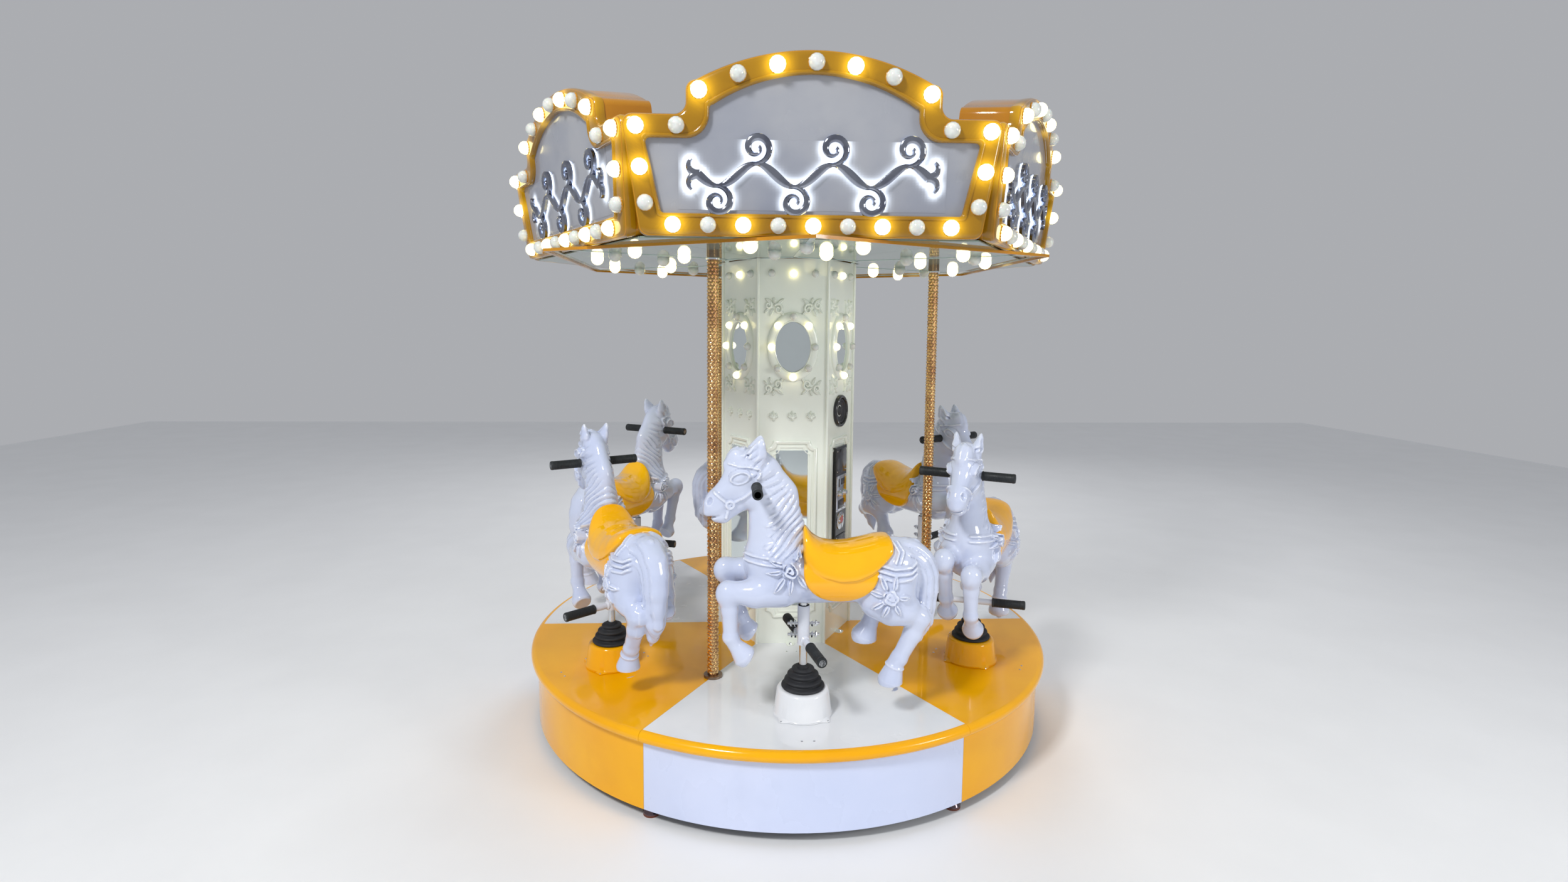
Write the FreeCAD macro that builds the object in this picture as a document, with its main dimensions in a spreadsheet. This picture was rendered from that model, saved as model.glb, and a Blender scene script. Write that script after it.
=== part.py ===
import FreeCAD, Part
import math
import os
import Sketcher
from FreeCAD import Placement, Rotation, Vector

# A six-horse merry-go-round for small children, in millimetres.
# +Z is up, the origin is on the floor at the centre of the turntable, and one sign faces -Y.

SIZES = {
    # deck and base
    "deck_radius": 1000,            # outside of the bull-nose rim
    "deck_height": 290,             # top of the deck above the floor
    "deck_board": 12,               # thickness of the deck sectors
    "rim_nose": 18,                 # radius of the rim's half-round edge
    "rim_lap": 20,                  # width of the rim's ledge under the deck sectors
    "rim_seat": 4,                  # width of the rim's top behind its nose
    "skirt_inset": 25,              # skirt face behind the rim's nose
    "skirt_wall": 5,
    "skirt_ledge": 20,
    "skirt_bottom": 35,
    "skirt_gap": 4,                 # between the fixed skirt and the turning rim
    "joint_gap": 1,                 # between neighbouring sectors, panels and covers
    "beam_width": 60,
    "beam_height": 50,
    "base_beam_bottom": 60,
    "frame_apothem": 800,           # centre lines of both hexagonal edge frames
    "hub_apothem": 150,
    "foot_pad_radius": 26,
    "foot_pad_height": 6,
    "foot_stem_radius": 9,
    "foot_lip": 4,
    "foot_bell_height": 22,
    "foot_bell_collar": 5,
    # centre bearing and drive
    "bearing_inner": 90,
    "bearing_outer": 145,
    "bearing_height": 25,
    "bearing_gap": 0.5,
    "spoke_height": 40,
    "drum_bore": 60,
    "ring_inner": 600,
    "ring_outer": 700,
    "ring_board": 12,
    "wheel_track": 650,             # radius of the wheel's path on the drive ring
    "wheel_radius": 52,
    "wheel_width": 36,
    "wheel_gap": 0.4,
    "wheel_standoff": 12,           # gearbox to wheel
    "axle_radius": 10,
    "axle_clearance": 0.3,
    "axle_depth": 60,               # length of the shaft's bearing in the gearbox
    "axle_end_gap": 2,
    "wheel_hub_wall": 14,
    "wheel_hub_length": 6,
    "gearbox_gap": 20,              # gearbox to drive ring
    "gearbox_length": 110,
    "gearbox_width": 90,
    "motor_radius": 40,
    "motor_length": 150,
    # mast, column and poles
    "mast_radius": 57,
    "mast_wall": 5,
    "ceiling_height": 1738,         # underside of the mirror ceiling above the floor
    "ceiling_board": 4,
    "ceiling_apothem": 840,
    "column_apothem": 221,
    "column_wall": 6,
    "pole_circle": 573,
    "pole_radius": 19,
    "socket_radius": 32,
    "socket_height": 9,
    "sleeve_length": 30,
    "sleeve_wall": 2,
    "pole_wall": 3,
    "deck_bore_clearance": 1.5,     # mast to deck
    "control_box_bottom": 300,      # above the deck
    "control_box_height": 320,
    "control_box_gap": 20,          # mast to box
    # canopy signs, leaning outwards
    "sign_apothem": 877,            # lower front edge of a sign's face
    "sign_lean": 6,                 # degrees
    "sign_depth": 180,
    "sign_bottom_half": 482,
    "sign_shoulder_half": 520,
    "sign_shoulder": 317,
    "sign_notch_half": 347,
    "sign_arch_edge": 405,
    "sign_crown": 486,
    "sign_border": 57,
    "sign_recess": 12,
    "sign_board": 3,
    "scroll_depth": 18,
    "casing_wall": 6,
    "bulb_radius": 23,
    "bulb_seat": 8,                 # how far a bulb's centre stands off its board
    "bottom_bulb_pitch": 97,
    "low_bulb": 86,                 # heights of the side bulbs above the sign's lower edge
    "high_bulb": 180,
    "ceiling_row_inner": 500,
    "ceiling_row_outer": 720,
    "ceiling_bulb_pitch": 170,
    "small_bulb_radius": 14,        # lamps of the column
    "small_bulb_seat": 5,
    "roof_rise": 250,
    "roof_board": 12,
    # horses
    "horse_circle": 750,
    "horse_length": 720,            # nose to tail
    "low_drop": 20,                 # how much lower every second horse stands at rest
    "rod_radius": 12.5,
    "rod_bottom": 160,
    "rod_clearance": 0.3,
    "guide_radius": 20,
    "guide_bottom": 114,
    "guide_top": 340,
    "cone_flange": 100,
    "cone_radius": 90,
    "cone_top": 80,
    "cone_height": 82,
    "cone_wall": 4,
    "cone_flange_board": 3,
    "bellows_base": 68,
    "bellows_neck": 46,
    "bellows_height": 62,
    "bellows_wall": 3,
    "bellows_fold_depth": 9,
    "sleeve_radius": 17,
    "sleeve_bottom": 219,           # above the deck
    "belly_height": 352,            # above the deck
    "footrest_height": 235,         # above the deck
    "footrest_half": 185,
    "footrest_bar": 10,
    "grip_radius": 16,
    "grip_length": 115,
    "handlebar_height": 725,        # above the deck
    "handlebar_ahead": 150,         # ahead of the rod
    "handlebar_bar": 10,
    "handlebar_grip_start": 52,
    "handlebar_grip_length": 110,
    # column fittings
    "oval_half_width": 95,
    "oval_half_height": 128,
    "oval_mirror_width": 65,
    "oval_mirror_height": 93,
    "oval_centre": 1127,            # above the deck
    "oval_depth": 12,
    "glass_board": 3,
    "frame_half_width": 95,
    "frame_bottom": 100,            # above the deck
    "frame_top": 780,               # above the deck
    "frame_notch": 26,
    "frame_width": 14,
    "frame_depth": 8,
    "pane_half_width": 59,
    "pane_bottom": 150,             # above the deck
    "pane_top": 743,                # above the deck
    "bead_radius": 6,
    "tab_width": 30,                # fixing tabs of the column's foot
    "tab_length": 28,
    "tab_board": 3,
    "glass_clearance": 0.5,
    "sprig_rise": 144,              # from the oval's centre
    "sprig_across": 70,
    "sprig_half_width": 30,
    "sprig_half_height": 22,
    "palmette_height": 867,         # above the deck
    "palmette_pitch": 70,
    "palmette_radius": 20,
    "relief_depth": 6,
    "top_bulb_across": 80,
    "top_bulb_height": 1394,        # above the deck
    "speaker_radius": 62,
    "speaker_depth": 16,
    "speaker_height": 880,          # above the deck
    "door_board": 9,
    "door_clearance": 1,
    "button_radius": 14,
    "button_height": 455,           # above the deck
    "button_clearance": 0.5,
    "button_reach": 7,
}

WHITE_TURNS = (-90, 30, 150)        # degrees, +X towards +Y
YELLOW_TURNS = (-30, 90, -150)
SECTOR_TURNS = (-90, -30, 30, 90, 150, -150)
CORNER_TURNS = (0, 60, 120, 180, -120, -60)
POLE_TURNS = (0, 120, -120)
COIN_TURN = 60                      # the coin door's face, counted from the front face
TAN_30 = math.tan(math.radians(30))
COS_30 = math.cos(math.radians(30))
SIN_30 = 0.5
DIAGONAL = math.sqrt(0.5)           # across and up of a rounded corner's middle


class Size:
    """A number together with the spreadsheet expression that gives it."""

    def __init__(self, value, text):
        self.value = float(value)
        self.text = text

    def combine(self, other, sign, result):
        return Size(result, "(%s %s %s)" % (self.text, sign, other.text))

    def __add__(self, other):
        other = as_size(other)
        return self.combine(other, "+", self.value + other.value)

    def __sub__(self, other):
        other = as_size(other)
        return self.combine(other, "-", self.value - other.value)

    def __mul__(self, other):
        other = as_size(other)
        return self.combine(other, "*", self.value * other.value)

    def __truediv__(self, other):
        other = as_size(other)
        return self.combine(other, "/", self.value / other.value)

    def __rsub__(self, other):
        return as_size(other) - self

    def __neg__(self):
        return self * -1

    __radd__ = __add__
    __rmul__ = __mul__


def as_size(number):
    return number if isinstance(number, Size) else Size(number, "%.9g" % number)


def arcsine(ratio):
    """Angle in degrees whose sine is the given Size."""
    return Size(math.degrees(math.asin(ratio.value)), "asin(%s)" % ratio.text)


doc = FreeCAD.newDocument("merry_go_round")
sheet = doc.addObject("Spreadsheet::Sheet", "Sizes")
SUB_PARTS = []


class Sheet:
    """Gives each alias of the spreadsheet as a Size."""

    def __getattr__(self, alias):
        return Size(SIZES[alias], "Sizes." + alias)


s = Sheet()


def fill_sheet():
    for row, (alias, value) in enumerate(SIZES.items(), start=1):
        sheet.set("A%d" % row, alias)
        sheet.set("B%d" % row, str(value))
        sheet.setAlias("B%d" % row, alias)
    doc.recompute()


# --- helpers: bound primitives, bound outlines, copies round the centre ---

def bind(obj, **sizes):
    """Sets each property and ties it to its expression."""
    for name, size in sizes.items():
        size = as_size(size)
        setattr(obj, name, size.value)
        obj.setExpression(name, size.text)


def place(obj, x=0, y=0, z=0, rotation=None):
    """Places an object at bound coordinates, with a fixed rotation."""
    at = [as_size(size) for size in (x, y, z)]
    obj.Placement = Placement(Vector(*[size.value for size in at]), rotation or Rotation())
    for axis, size in zip("xyz", at):
        obj.setExpression("Placement.Base." + axis, size.text)
    return obj


def primitive(kind, at=(0, 0, 0), rotation=None, **sizes):
    obj = doc.addObject("Part::" + kind, kind)
    bind(obj, **sizes)
    return place(obj, *at, rotation=rotation)


def about(axis, degrees):
    return Rotation(Vector(*axis), degrees)


def towards(start, end):
    """Rotation that lays a primitive's own Z along the way from start to end."""
    ways = [as_size(b).value - as_size(a).value for a, b in zip(start, end)]
    return Rotation(Vector(0, 0, 1), Vector(*ways))


def keep(obj, label):
    """Names a finished sub-part after its node."""
    obj.Label = label
    SUB_PARTS.append(obj)
    return obj


def together(objects):
    group = doc.addObject("Part::Compound", "Group")
    group.Links = objects
    return group


def fused(objects):
    joined = doc.addObject("Part::MultiFuse", "Joined")
    joined.Shapes = objects
    return joined


def cut(base, tool):
    result = doc.addObject("Part::Cut", "Cut")
    result.Base = base
    result.Tool = tool
    return result


def common(first, second):
    result = doc.addObject("Part::Common", "Common")
    result.Base = first
    result.Tool = second
    return result


def linked(source, x=0, y=0, z=0, rotation=None):
    link = doc.addObject("App::Link", "Copy")
    link.LinkedObject = source
    link.LinkTransform = True
    return place(link, x, y, z, rotation)


def round_centre(source, turns):
    """Copies of one object, turned about the centre of the machine."""
    return together([linked(source, rotation=about((0, 0, 1), turn)) for turn in turns])


def outline(body, plane, corners):
    """Closed sketch whose corners are bound to (across, up) sizes.

    A corner with four sizes starts an arc that passes through its last two."""
    sketch = body.newObject("Sketcher::SketchObject", "Outline")
    origin_plane = [item for item in body.Origin.OriginFeatures if item.Role == plane][0]
    sketch.AttachmentSupport = [(origin_plane, "")]
    sketch.MapMode = "FlatFace"
    corners = [[as_size(size) for size in corner] for corner in corners]
    edges = []
    for corner, after in zip(corners, corners[1:] + corners[:1]):
        start, end = [Vector(point[0].value, point[1].value, 0) for point in (corner, after)]
        if len(corner) == 4:
            middle = Vector(corner[2].value, corner[3].value, 0)
            clockwise = (middle - start).cross(end - middle).z < 0
            edge = sketch.addGeometry(Part.Arc(start, middle, end))
            via = sketch.addGeometry(Part.Point(middle), True)
            hold(sketch, via, 1, corner[2], corner[3])
            sketch.addConstraint(Sketcher.Constraint("PointOnObject", via, 1, edge))
            edges.append((edge, 2 if clockwise else 1, 1 if clockwise else 2))
        else:
            edges.append((sketch.addGeometry(Part.LineSegment(start, end)), 1, 2))
        hold(sketch, edges[-1][0], edges[-1][1], corner[0], corner[1])
    for (edge, _, end), (following, start, _) in zip(edges, edges[1:] + edges[:1]):
        sketch.addConstraint(Sketcher.Constraint("Coincident", edge, end, following, start))
    return sketch


def hold(sketch, geometry, point, across, up):
    for kind, size in (("DistanceX", across), ("DistanceY", up)):
        index = sketch.addConstraint(Sketcher.Constraint(kind, -1, 1, geometry, point, size.value))
        sketch.setExpression("Constraints[%d]" % index, size.text)


def padded(plane, corners, length, at=(0, 0, 0), rotation=None):
    """Body whose outline is padded along the plane's axis: +Z from XY_Plane, +Y from XZ_Plane."""
    body = doc.addObject("PartDesign::Body", "Body")
    pad = body.newObject("PartDesign::Pad", "Pad")
    pad.Profile = outline(body, plane, corners)
    bind(pad, Length=length)
    pad.Reversed = plane == "XZ_Plane"
    body.Tip = pad
    return place(body, *at, rotation=rotation)


def revolved(corners, angle=360, at=(0, 0, 0), rotation=None):
    """Body turned about Z; a part turn is centred on +X. Corners are (radius, height)."""
    body = doc.addObject("PartDesign::Body", "Body")
    sketch = outline(body, "XZ_Plane", corners)
    turned = body.newObject("PartDesign::Revolution", "Revolution")
    turned.Profile = sketch
    turned.ReferenceAxis = (sketch, ["V_Axis"])
    turned.Angle = angle
    turned.Midplane = True
    body.Tip = turned
    return place(body, *at, rotation=rotation)


def tube(outer, inner, height, at):
    return cut(
        primitive("Cylinder", at, Radius=outer, Height=height),
        primitive("Cylinder", at, Radius=inner, Height=height),
    )


def board(x, y, z, length, width, height):
    """Box from a corner at (x, y, z)."""
    return primitive("Box", (x, y, z), Length=length, Width=width, Height=height)


# --- fixed base ---

def edge_bar(apothem, width, spoke_width, height, z):
    """Straight bar of a hexagonal frame, mitred against the spokes at its two ends."""
    inner = apothem - width / 2
    outer = apothem + width / 2
    shift = spoke_width / 2 / COS_30
    corners = [
        (inner, -(inner * TAN_30 - shift)),
        (outer, -(outer * TAN_30 - shift)),
        (outer, outer * TAN_30 - shift),
        (inner, inner * TAN_30 - shift),
    ]
    return padded("XY_Plane", corners, height, (0, 0, z))


def make_base():
    bottom = s.base_beam_bottom
    skirt_inner = s.deck_radius - s.skirt_inset - s.skirt_wall
    hub = primitive(
        "Prism", (0, 0, bottom), about((0, 0, 1), 30),
        Circumradius=s.hub_apothem / COS_30, Height=s.beam_height,
    )
    hub.Polygon = 6
    beam = board(
        s.hub_apothem, -s.beam_width / 2, bottom,
        skirt_inner - 1 - s.hub_apothem, s.beam_width, s.beam_height,
    )
    bar = edge_bar(s.frame_apothem, s.beam_width, s.beam_width, s.beam_height, bottom)
    bars = round_centre(bar, SECTOR_TURNS)
    keep(together([hub, round_centre(beam, CORNER_TURNS), bars]), "base_frame")

    foot_circle = skirt_inner - s.foot_pad_radius - s.foot_stem_radius
    pad_top = s.foot_pad_height
    bell = revolved([
        (0, pad_top), (s.foot_pad_radius, pad_top), (s.foot_pad_radius, pad_top + s.foot_lip),
        (s.foot_stem_radius + s.foot_bell_collar, pad_top + s.foot_bell_height),
        (s.foot_stem_radius, pad_top + s.foot_bell_height),
        (s.foot_stem_radius, bottom), (0, bottom),
    ], at=(foot_circle, 0, 0))
    pad = primitive("Cylinder", (foot_circle, 0, 0), Radius=s.foot_pad_radius, Height=pad_top)
    keep(round_centre(bell, CORNER_TURNS), "levelling_feet")
    keep(round_centre(pad, CORNER_TURNS), "foot_pads")

    skirt_top = s.deck_height - s.rim_nose * 2 - s.skirt_gap
    panel_angle = 60 - math.degrees(SIZES["joint_gap"] / SIZES["deck_radius"])
    panel = revolved([
        (skirt_inner, s.skirt_bottom), (skirt_inner + s.skirt_wall, s.skirt_bottom),
        (skirt_inner + s.skirt_wall, skirt_top), (skirt_inner - s.skirt_ledge, skirt_top),
        (skirt_inner - s.skirt_ledge, skirt_top - s.skirt_wall), (skirt_inner, skirt_top - s.skirt_wall),
    ], panel_angle)
    keep(round_centre(panel, WHITE_TURNS), "skirt_white")
    keep(round_centre(panel, YELLOW_TURNS), "skirt_yellow")

    beam_top = bottom + s.beam_height
    keep(
        tube(s.bearing_outer, s.bearing_inner, s.bearing_height, (0, 0, beam_top)),
        "slewing_ring",
    )
    return beam_top


def make_drive(beam_top):
    """Gearmotor on the beam along +X, and the wheel that rolls under the drive ring."""
    ring_bottom = s.deck_height - s.deck_board - s.spoke_height - s.ring_board
    axle_height = ring_bottom - s.wheel_gap - s.wheel_radius
    wheel_inner = s.wheel_track - s.wheel_width / 2
    gearbox_end = wheel_inner - s.wheel_standoff
    gearbox = board(
        gearbox_end - s.gearbox_length, -s.gearbox_width / 2, beam_top,
        s.gearbox_length, s.gearbox_width, ring_bottom - s.gearbox_gap - beam_top,
    )
    bore = primitive(
        "Cylinder", (gearbox_end - s.axle_depth, 0, axle_height), about((0, 1, 0), 90),
        Radius=s.axle_radius + s.axle_clearance, Height=s.axle_depth,
    )
    motor = primitive(
        "Cylinder", (gearbox_end - s.gearbox_length - s.motor_length, 0, axle_height),
        about((0, 1, 0), 90), Radius=s.motor_radius, Height=s.motor_length,
    )
    keep(together([cut(gearbox, bore), motor]), "gearmotor")

    axle_start = gearbox_end - s.axle_depth + s.axle_end_gap
    hub_start = s.axle_depth + s.wheel_standoff - s.wheel_hub_length
    tyre_start = wheel_inner - axle_start
    tyre_end = tyre_start + s.wheel_width
    hub_radius = s.axle_radius + s.wheel_hub_wall
    wheel = revolved([
        (0, 0), (s.axle_radius, 0), (s.axle_radius, hub_start), (hub_radius, hub_start),
        (hub_radius, tyre_start), (s.wheel_radius, tyre_start), (s.wheel_radius, tyre_end),
        (0, tyre_end),
    ], at=(axle_start, 0, axle_height), rotation=about((0, 1, 0), 90))
    keep(wheel, "drive_wheel")


# --- turntable under the deck ---

def make_turntable(beam_top):
    deck_bottom = s.deck_height - s.deck_board
    spoke_bottom = deck_bottom - s.spoke_height
    bearing_top = beam_top + s.bearing_height + s.bearing_gap
    spigot = s.bearing_inner - s.bearing_gap
    drum = revolved([
        (s.drum_bore, beam_top + 5), (spigot, beam_top + 5), (spigot, bearing_top),
        (s.bearing_outer, bearing_top), (s.bearing_outer, spoke_bottom),
        (s.drum_bore, spoke_bottom),
    ])
    plate = primitive(
        "Prism", (0, 0, spoke_bottom), Circumradius=s.hub_apothem / COS_30, Height=s.spoke_height,
    )
    plate.Polygon = 6
    bore = primitive("Cylinder", (0, 0, spoke_bottom), Radius=s.drum_bore, Height=s.spoke_height)
    spoke_end = s.deck_radius - s.rim_nose - s.rim_lap - 30
    spoke = board(
        s.hub_apothem, -s.beam_width / 2, spoke_bottom,
        spoke_end - s.hub_apothem, s.beam_width, s.spoke_height,
    )
    guide_hole = primitive(
        "Cylinder", (s.horse_circle, 0, spoke_bottom),
        Radius=s.guide_radius, Height=s.spoke_height,
    )
    bar = edge_bar(s.frame_apothem, s.beam_width / 2, s.beam_width, s.spoke_height, spoke_bottom)
    segment = revolved([
        (s.ring_inner, spoke_bottom - s.ring_board), (s.ring_outer, spoke_bottom - s.ring_board),
        (s.ring_outer, spoke_bottom), (s.ring_inner, spoke_bottom),
    ], 30)
    segments = round_centre(segment, range(0, 360, 30))
    keep(together([
        drum, cut(plate, bore), round_centre(cut(spoke, guide_hole), SECTOR_TURNS),
        round_centre(bar, CORNER_TURNS), segments,
    ]), "turntable_frame")

    # the slip ring stands inside the drum, under the mast
    ring_foot = beam_top + 10
    slip_radius = s.drum_bore - 20
    keep(revolved([
        (0, ring_foot), (slip_radius, ring_foot), (slip_radius, spoke_bottom),
        (s.drum_bore - 0.1, spoke_bottom), (s.drum_bore - 0.1, deck_bottom), (0, deck_bottom),
    ]), "slip_ring")

    tube_gap = s.rod_radius + s.rod_clearance
    guide = tube(
        s.guide_radius, tube_gap, s.guide_top - s.guide_bottom, (s.horse_circle, 0, s.guide_bottom)
    )
    keep(round_centre(guide, SECTOR_TURNS), "guide_tubes")
    lift = board(
        s.horse_circle + s.guide_radius, -s.beam_width * 0.7, s.guide_bottom + 40,
        s.beam_width * 2, s.beam_width * 1.4, spoke_bottom - s.guide_bottom - 40,
    )
    keep(round_centre(lift, SECTOR_TURNS), "lift_units")


# --- deck, rim and covers ---

def make_deck():
    top = s.deck_height
    board_bottom = top - s.deck_board
    edge = s.deck_radius - s.rim_nose
    gap_angle = math.degrees(SIZES["joint_gap"] / SIZES["deck_radius"])
    sector = revolved([
        (s.mast_radius + s.deck_bore_clearance, board_bottom), (edge - s.rim_seat, board_bottom),
        (edge - s.rim_seat, top), (s.mast_radius + s.deck_bore_clearance, top),
    ], 60 - gap_angle)
    hole = primitive(
        "Cylinder", (s.horse_circle, 0, board_bottom),
        Radius=s.guide_radius + s.rod_clearance, Height=s.deck_board,
    )
    bored = cut(sector, hole)
    keep(round_centre(bored, WHITE_TURNS), "deck_white")
    keep(round_centre(bored, YELLOW_TURNS), "deck_yellow")

    rim_bottom = top - s.rim_nose * 2
    rim = revolved([
        (edge - s.rim_lap, rim_bottom),
        (edge, rim_bottom, s.deck_radius, top - s.rim_nose),
        (edge, top), (edge - s.rim_seat, top), (edge - s.rim_seat, board_bottom),
        (edge - s.rim_lap, board_bottom),
    ], 60 - gap_angle)
    keep(round_centre(rim, SECTOR_TURNS), "deck_rim")

    cone_top = top + s.cone_height
    flange = s.cone_flange_board
    cone = revolved([
        (s.cone_radius - s.cone_wall, top), (s.cone_flange, top), (s.cone_flange, top + flange),
        (s.cone_radius, top + flange), (s.cone_top, cone_top), (s.bellows_neck, cone_top),
        (s.bellows_neck, cone_top - s.cone_wall), (s.cone_top - s.cone_wall, cone_top - s.cone_wall),
    ], at=(s.horse_circle, 0, 0))
    keep(round_centre(cone, WHITE_TURNS), "cones_white")
    keep(round_centre(cone, YELLOW_TURNS), "cones_yellow")
    keep(round_centre(make_bellows(cone_top), SECTOR_TURNS), "bellows")


def make_bellows(bottom):
    """Rubber boot of three folds, narrowing upwards, with a flat neck round the rod."""
    folds = 3
    outside = []
    inside = []
    for fold in range(folds):
        low = bottom + s.bellows_height * (fold / folds)
        waist = bottom + s.bellows_height * ((fold + 0.75) / folds)
        wide = s.bellows_base - (s.bellows_base - s.bellows_neck) * (fold / folds)
        outside += [(wide, low), (wide, low + s.bellows_height * (0.4 / folds))]
        outside += [(wide - s.bellows_fold_depth, waist)]
        inside += [(wide - s.bellows_wall, low), (wide - s.bellows_wall,
                   low + s.bellows_height * (0.4 / folds))]
        inside += [(wide - s.bellows_fold_depth - s.bellows_wall, waist)]
    top = bottom + s.bellows_height
    neck = s.rod_radius + s.rod_clearance * 2
    inside_top = (s.bellows_neck - s.bellows_wall, top - s.bellows_wall)
    corners = outside + [(s.bellows_neck, top), (neck, top), (neck, top - s.bellows_wall)]
    return revolved(corners + [inside_top] + inside[::-1], at=(s.horse_circle, 0, 0))


# --- mast, column and poles ---

def make_column():
    deck_bottom = s.deck_height - s.deck_board
    ceiling = s.ceiling_height
    keep(
        tube(s.mast_radius, s.mast_radius - s.mast_wall, ceiling - deck_bottom, (0, 0, deck_bottom)),
        "mast",
    )
    panel = hex_panel(s.column_apothem, s.column_wall, ceiling - s.deck_height)
    keep(round_centre(panel, SECTOR_TURNS), "column_shell")
    keep(board(
        -s.mast_radius, s.mast_radius + s.control_box_gap, s.deck_height + s.control_box_bottom,
        s.mast_radius * 2,
        s.column_apothem - s.mast_radius - s.control_box_gap - s.column_wall, s.control_box_height,
    ), "control_box")

    pole = tube(
        s.pole_radius, s.pole_radius - s.pole_wall, ceiling - s.deck_height,
        (s.pole_circle, 0, s.deck_height),
    )
    keep(round_centre(pole, POLE_TURNS), "gold_poles")
    foot = tube(
        s.socket_radius, s.pole_radius, s.socket_height, (s.pole_circle, 0, s.deck_height)
    )
    head = tube(
        s.pole_radius + s.sleeve_wall, s.pole_radius, s.sleeve_length,
        (s.pole_circle, 0, ceiling - s.sleeve_length),
    )
    keep(round_centre(together([foot, head]), POLE_TURNS), "pole_sockets")


def hex_panel(apothem, wall, height):
    """One flat panel of the hexagonal column, mitred at both edges, facing +X."""
    half = (apothem - SIZES["joint_gap"] / 2) * TAN_30
    inner_half = half - wall * TAN_30
    corners = [
        (apothem - wall, -inner_half), (apothem, -half), (apothem, half), (apothem - wall, inner_half),
    ]
    return padded("XY_Plane", corners, height, (0, 0, s.deck_height))


def oval(half_width, half_height, depth, z):
    """Upright oval on the column's front face, sketched as four arcs."""
    bend = DIAGONAL
    corners = [
        (half_width, 0, half_width * bend, half_height * bend),
        (0, half_height, -half_width * bend, half_height * bend),
        (-half_width, 0, -half_width * bend, -half_height * bend),
        (0, -half_height, half_width * bend, -half_height * bend),
    ]
    return padded("XZ_Plane", corners, depth, (0, -s.column_apothem - depth, z))


def notched(half, bottom, top, notch):
    """Upright rectangle whose four corners are cut in by quarter circles."""
    inner = notch * (1 - DIAGONAL)
    return [
        (-half + notch, bottom), (half - notch, bottom, half - inner, bottom + inner),
        (half, bottom + notch), (half, top - notch, half - inner, top - inner),
        (half - notch, top), (-half + notch, top, -half + inner, top - inner),
        (-half, top - notch), (-half, bottom + notch, -half + inner, bottom + inner),
    ]


def make_column_fittings():
    deck = s.deck_height
    face = -s.column_apothem
    centre = deck + s.oval_centre
    ring = cut(
        oval(s.oval_half_width, s.oval_half_height, s.oval_depth, centre),
        oval(s.oval_mirror_width, s.oval_mirror_height, s.oval_depth, centre),
    )
    moulding = cut(
        padded("XZ_Plane", notched(s.frame_half_width, deck + s.frame_bottom, deck + s.frame_top,
                                   s.frame_notch), s.frame_depth, (0, face - s.frame_depth, 0)),
        padded("XZ_Plane", notched(s.frame_half_width - s.frame_width,
                                   deck + s.frame_bottom + s.frame_width,
                                   deck + s.frame_top - s.frame_width, s.frame_notch),
               s.frame_depth, (0, face - s.frame_depth, 0)),
    )
    tab = board(
        -s.tab_width / 2, face - s.tab_length, deck, s.tab_width, s.tab_length, s.tab_board,
    )
    mouldings = together([ring, moulding, tab])
    bead = primitive(
        "Cylinder", ((s.column_apothem + s.bead_radius) / COS_30, 0, deck),
        Radius=s.bead_radius, Height=s.ceiling_height - deck,
    )
    keep(together([
        round_centre(mouldings, CORNER_TURNS), round_centre(bead, CORNER_TURNS),
    ]), "column_mouldings")

    oval_glass = oval(
        s.oval_mirror_width - s.glass_clearance, s.oval_mirror_height - s.glass_clearance,
        s.glass_board, centre,
    )
    pane = board(
        -s.pane_half_width, face - s.glass_board, deck + s.pane_bottom,
        s.pane_half_width * 2, s.glass_board, s.pane_top - s.pane_bottom,
    )
    plain_turns = [turn for turn in CORNER_TURNS if turn != COIN_TURN]
    keep(together([
        round_centre(oval_glass, CORNER_TURNS), round_centre(pane, plain_turns),
    ]), "mirror_glass")

    sprigs = [
        oval_plate(s.sprig_across * side, centre + s.sprig_rise * rise,
                   s.sprig_half_width, s.sprig_half_height)
        for side in (-1, 1) for rise in (-1, 1)
    ]
    palmettes = together([
        oval_plate(s.palmette_pitch * number, deck + s.palmette_height,
                   s.palmette_radius, s.palmette_radius)
        for number in (-1, 0, 1)
    ])
    keep(together([
        round_centre(together(sprigs), CORNER_TURNS), round_centre(palmettes, plain_turns),
    ]), "column_ornaments")

    speaker = primitive(
        "Cylinder", (0, face, deck + s.speaker_height), about((1, 0, 0), 90),
        Radius=s.speaker_radius, Height=s.speaker_depth,
    )
    keep(linked(speaker, rotation=about((0, 0, 1), COIN_TURN)), "loudspeaker")
    make_coin_door(face)


def oval_plate(across, height, half_width, half_height):
    """Low carved relief on the column's front face, as a plain oval."""
    return primitive(
        "Ellipsoid", (across, -s.column_apothem, height), about((1, 0, 0), 90),
        Radius1=s.relief_depth, Radius2=half_width, Radius3=half_height, Angle1=0,
    )


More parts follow.
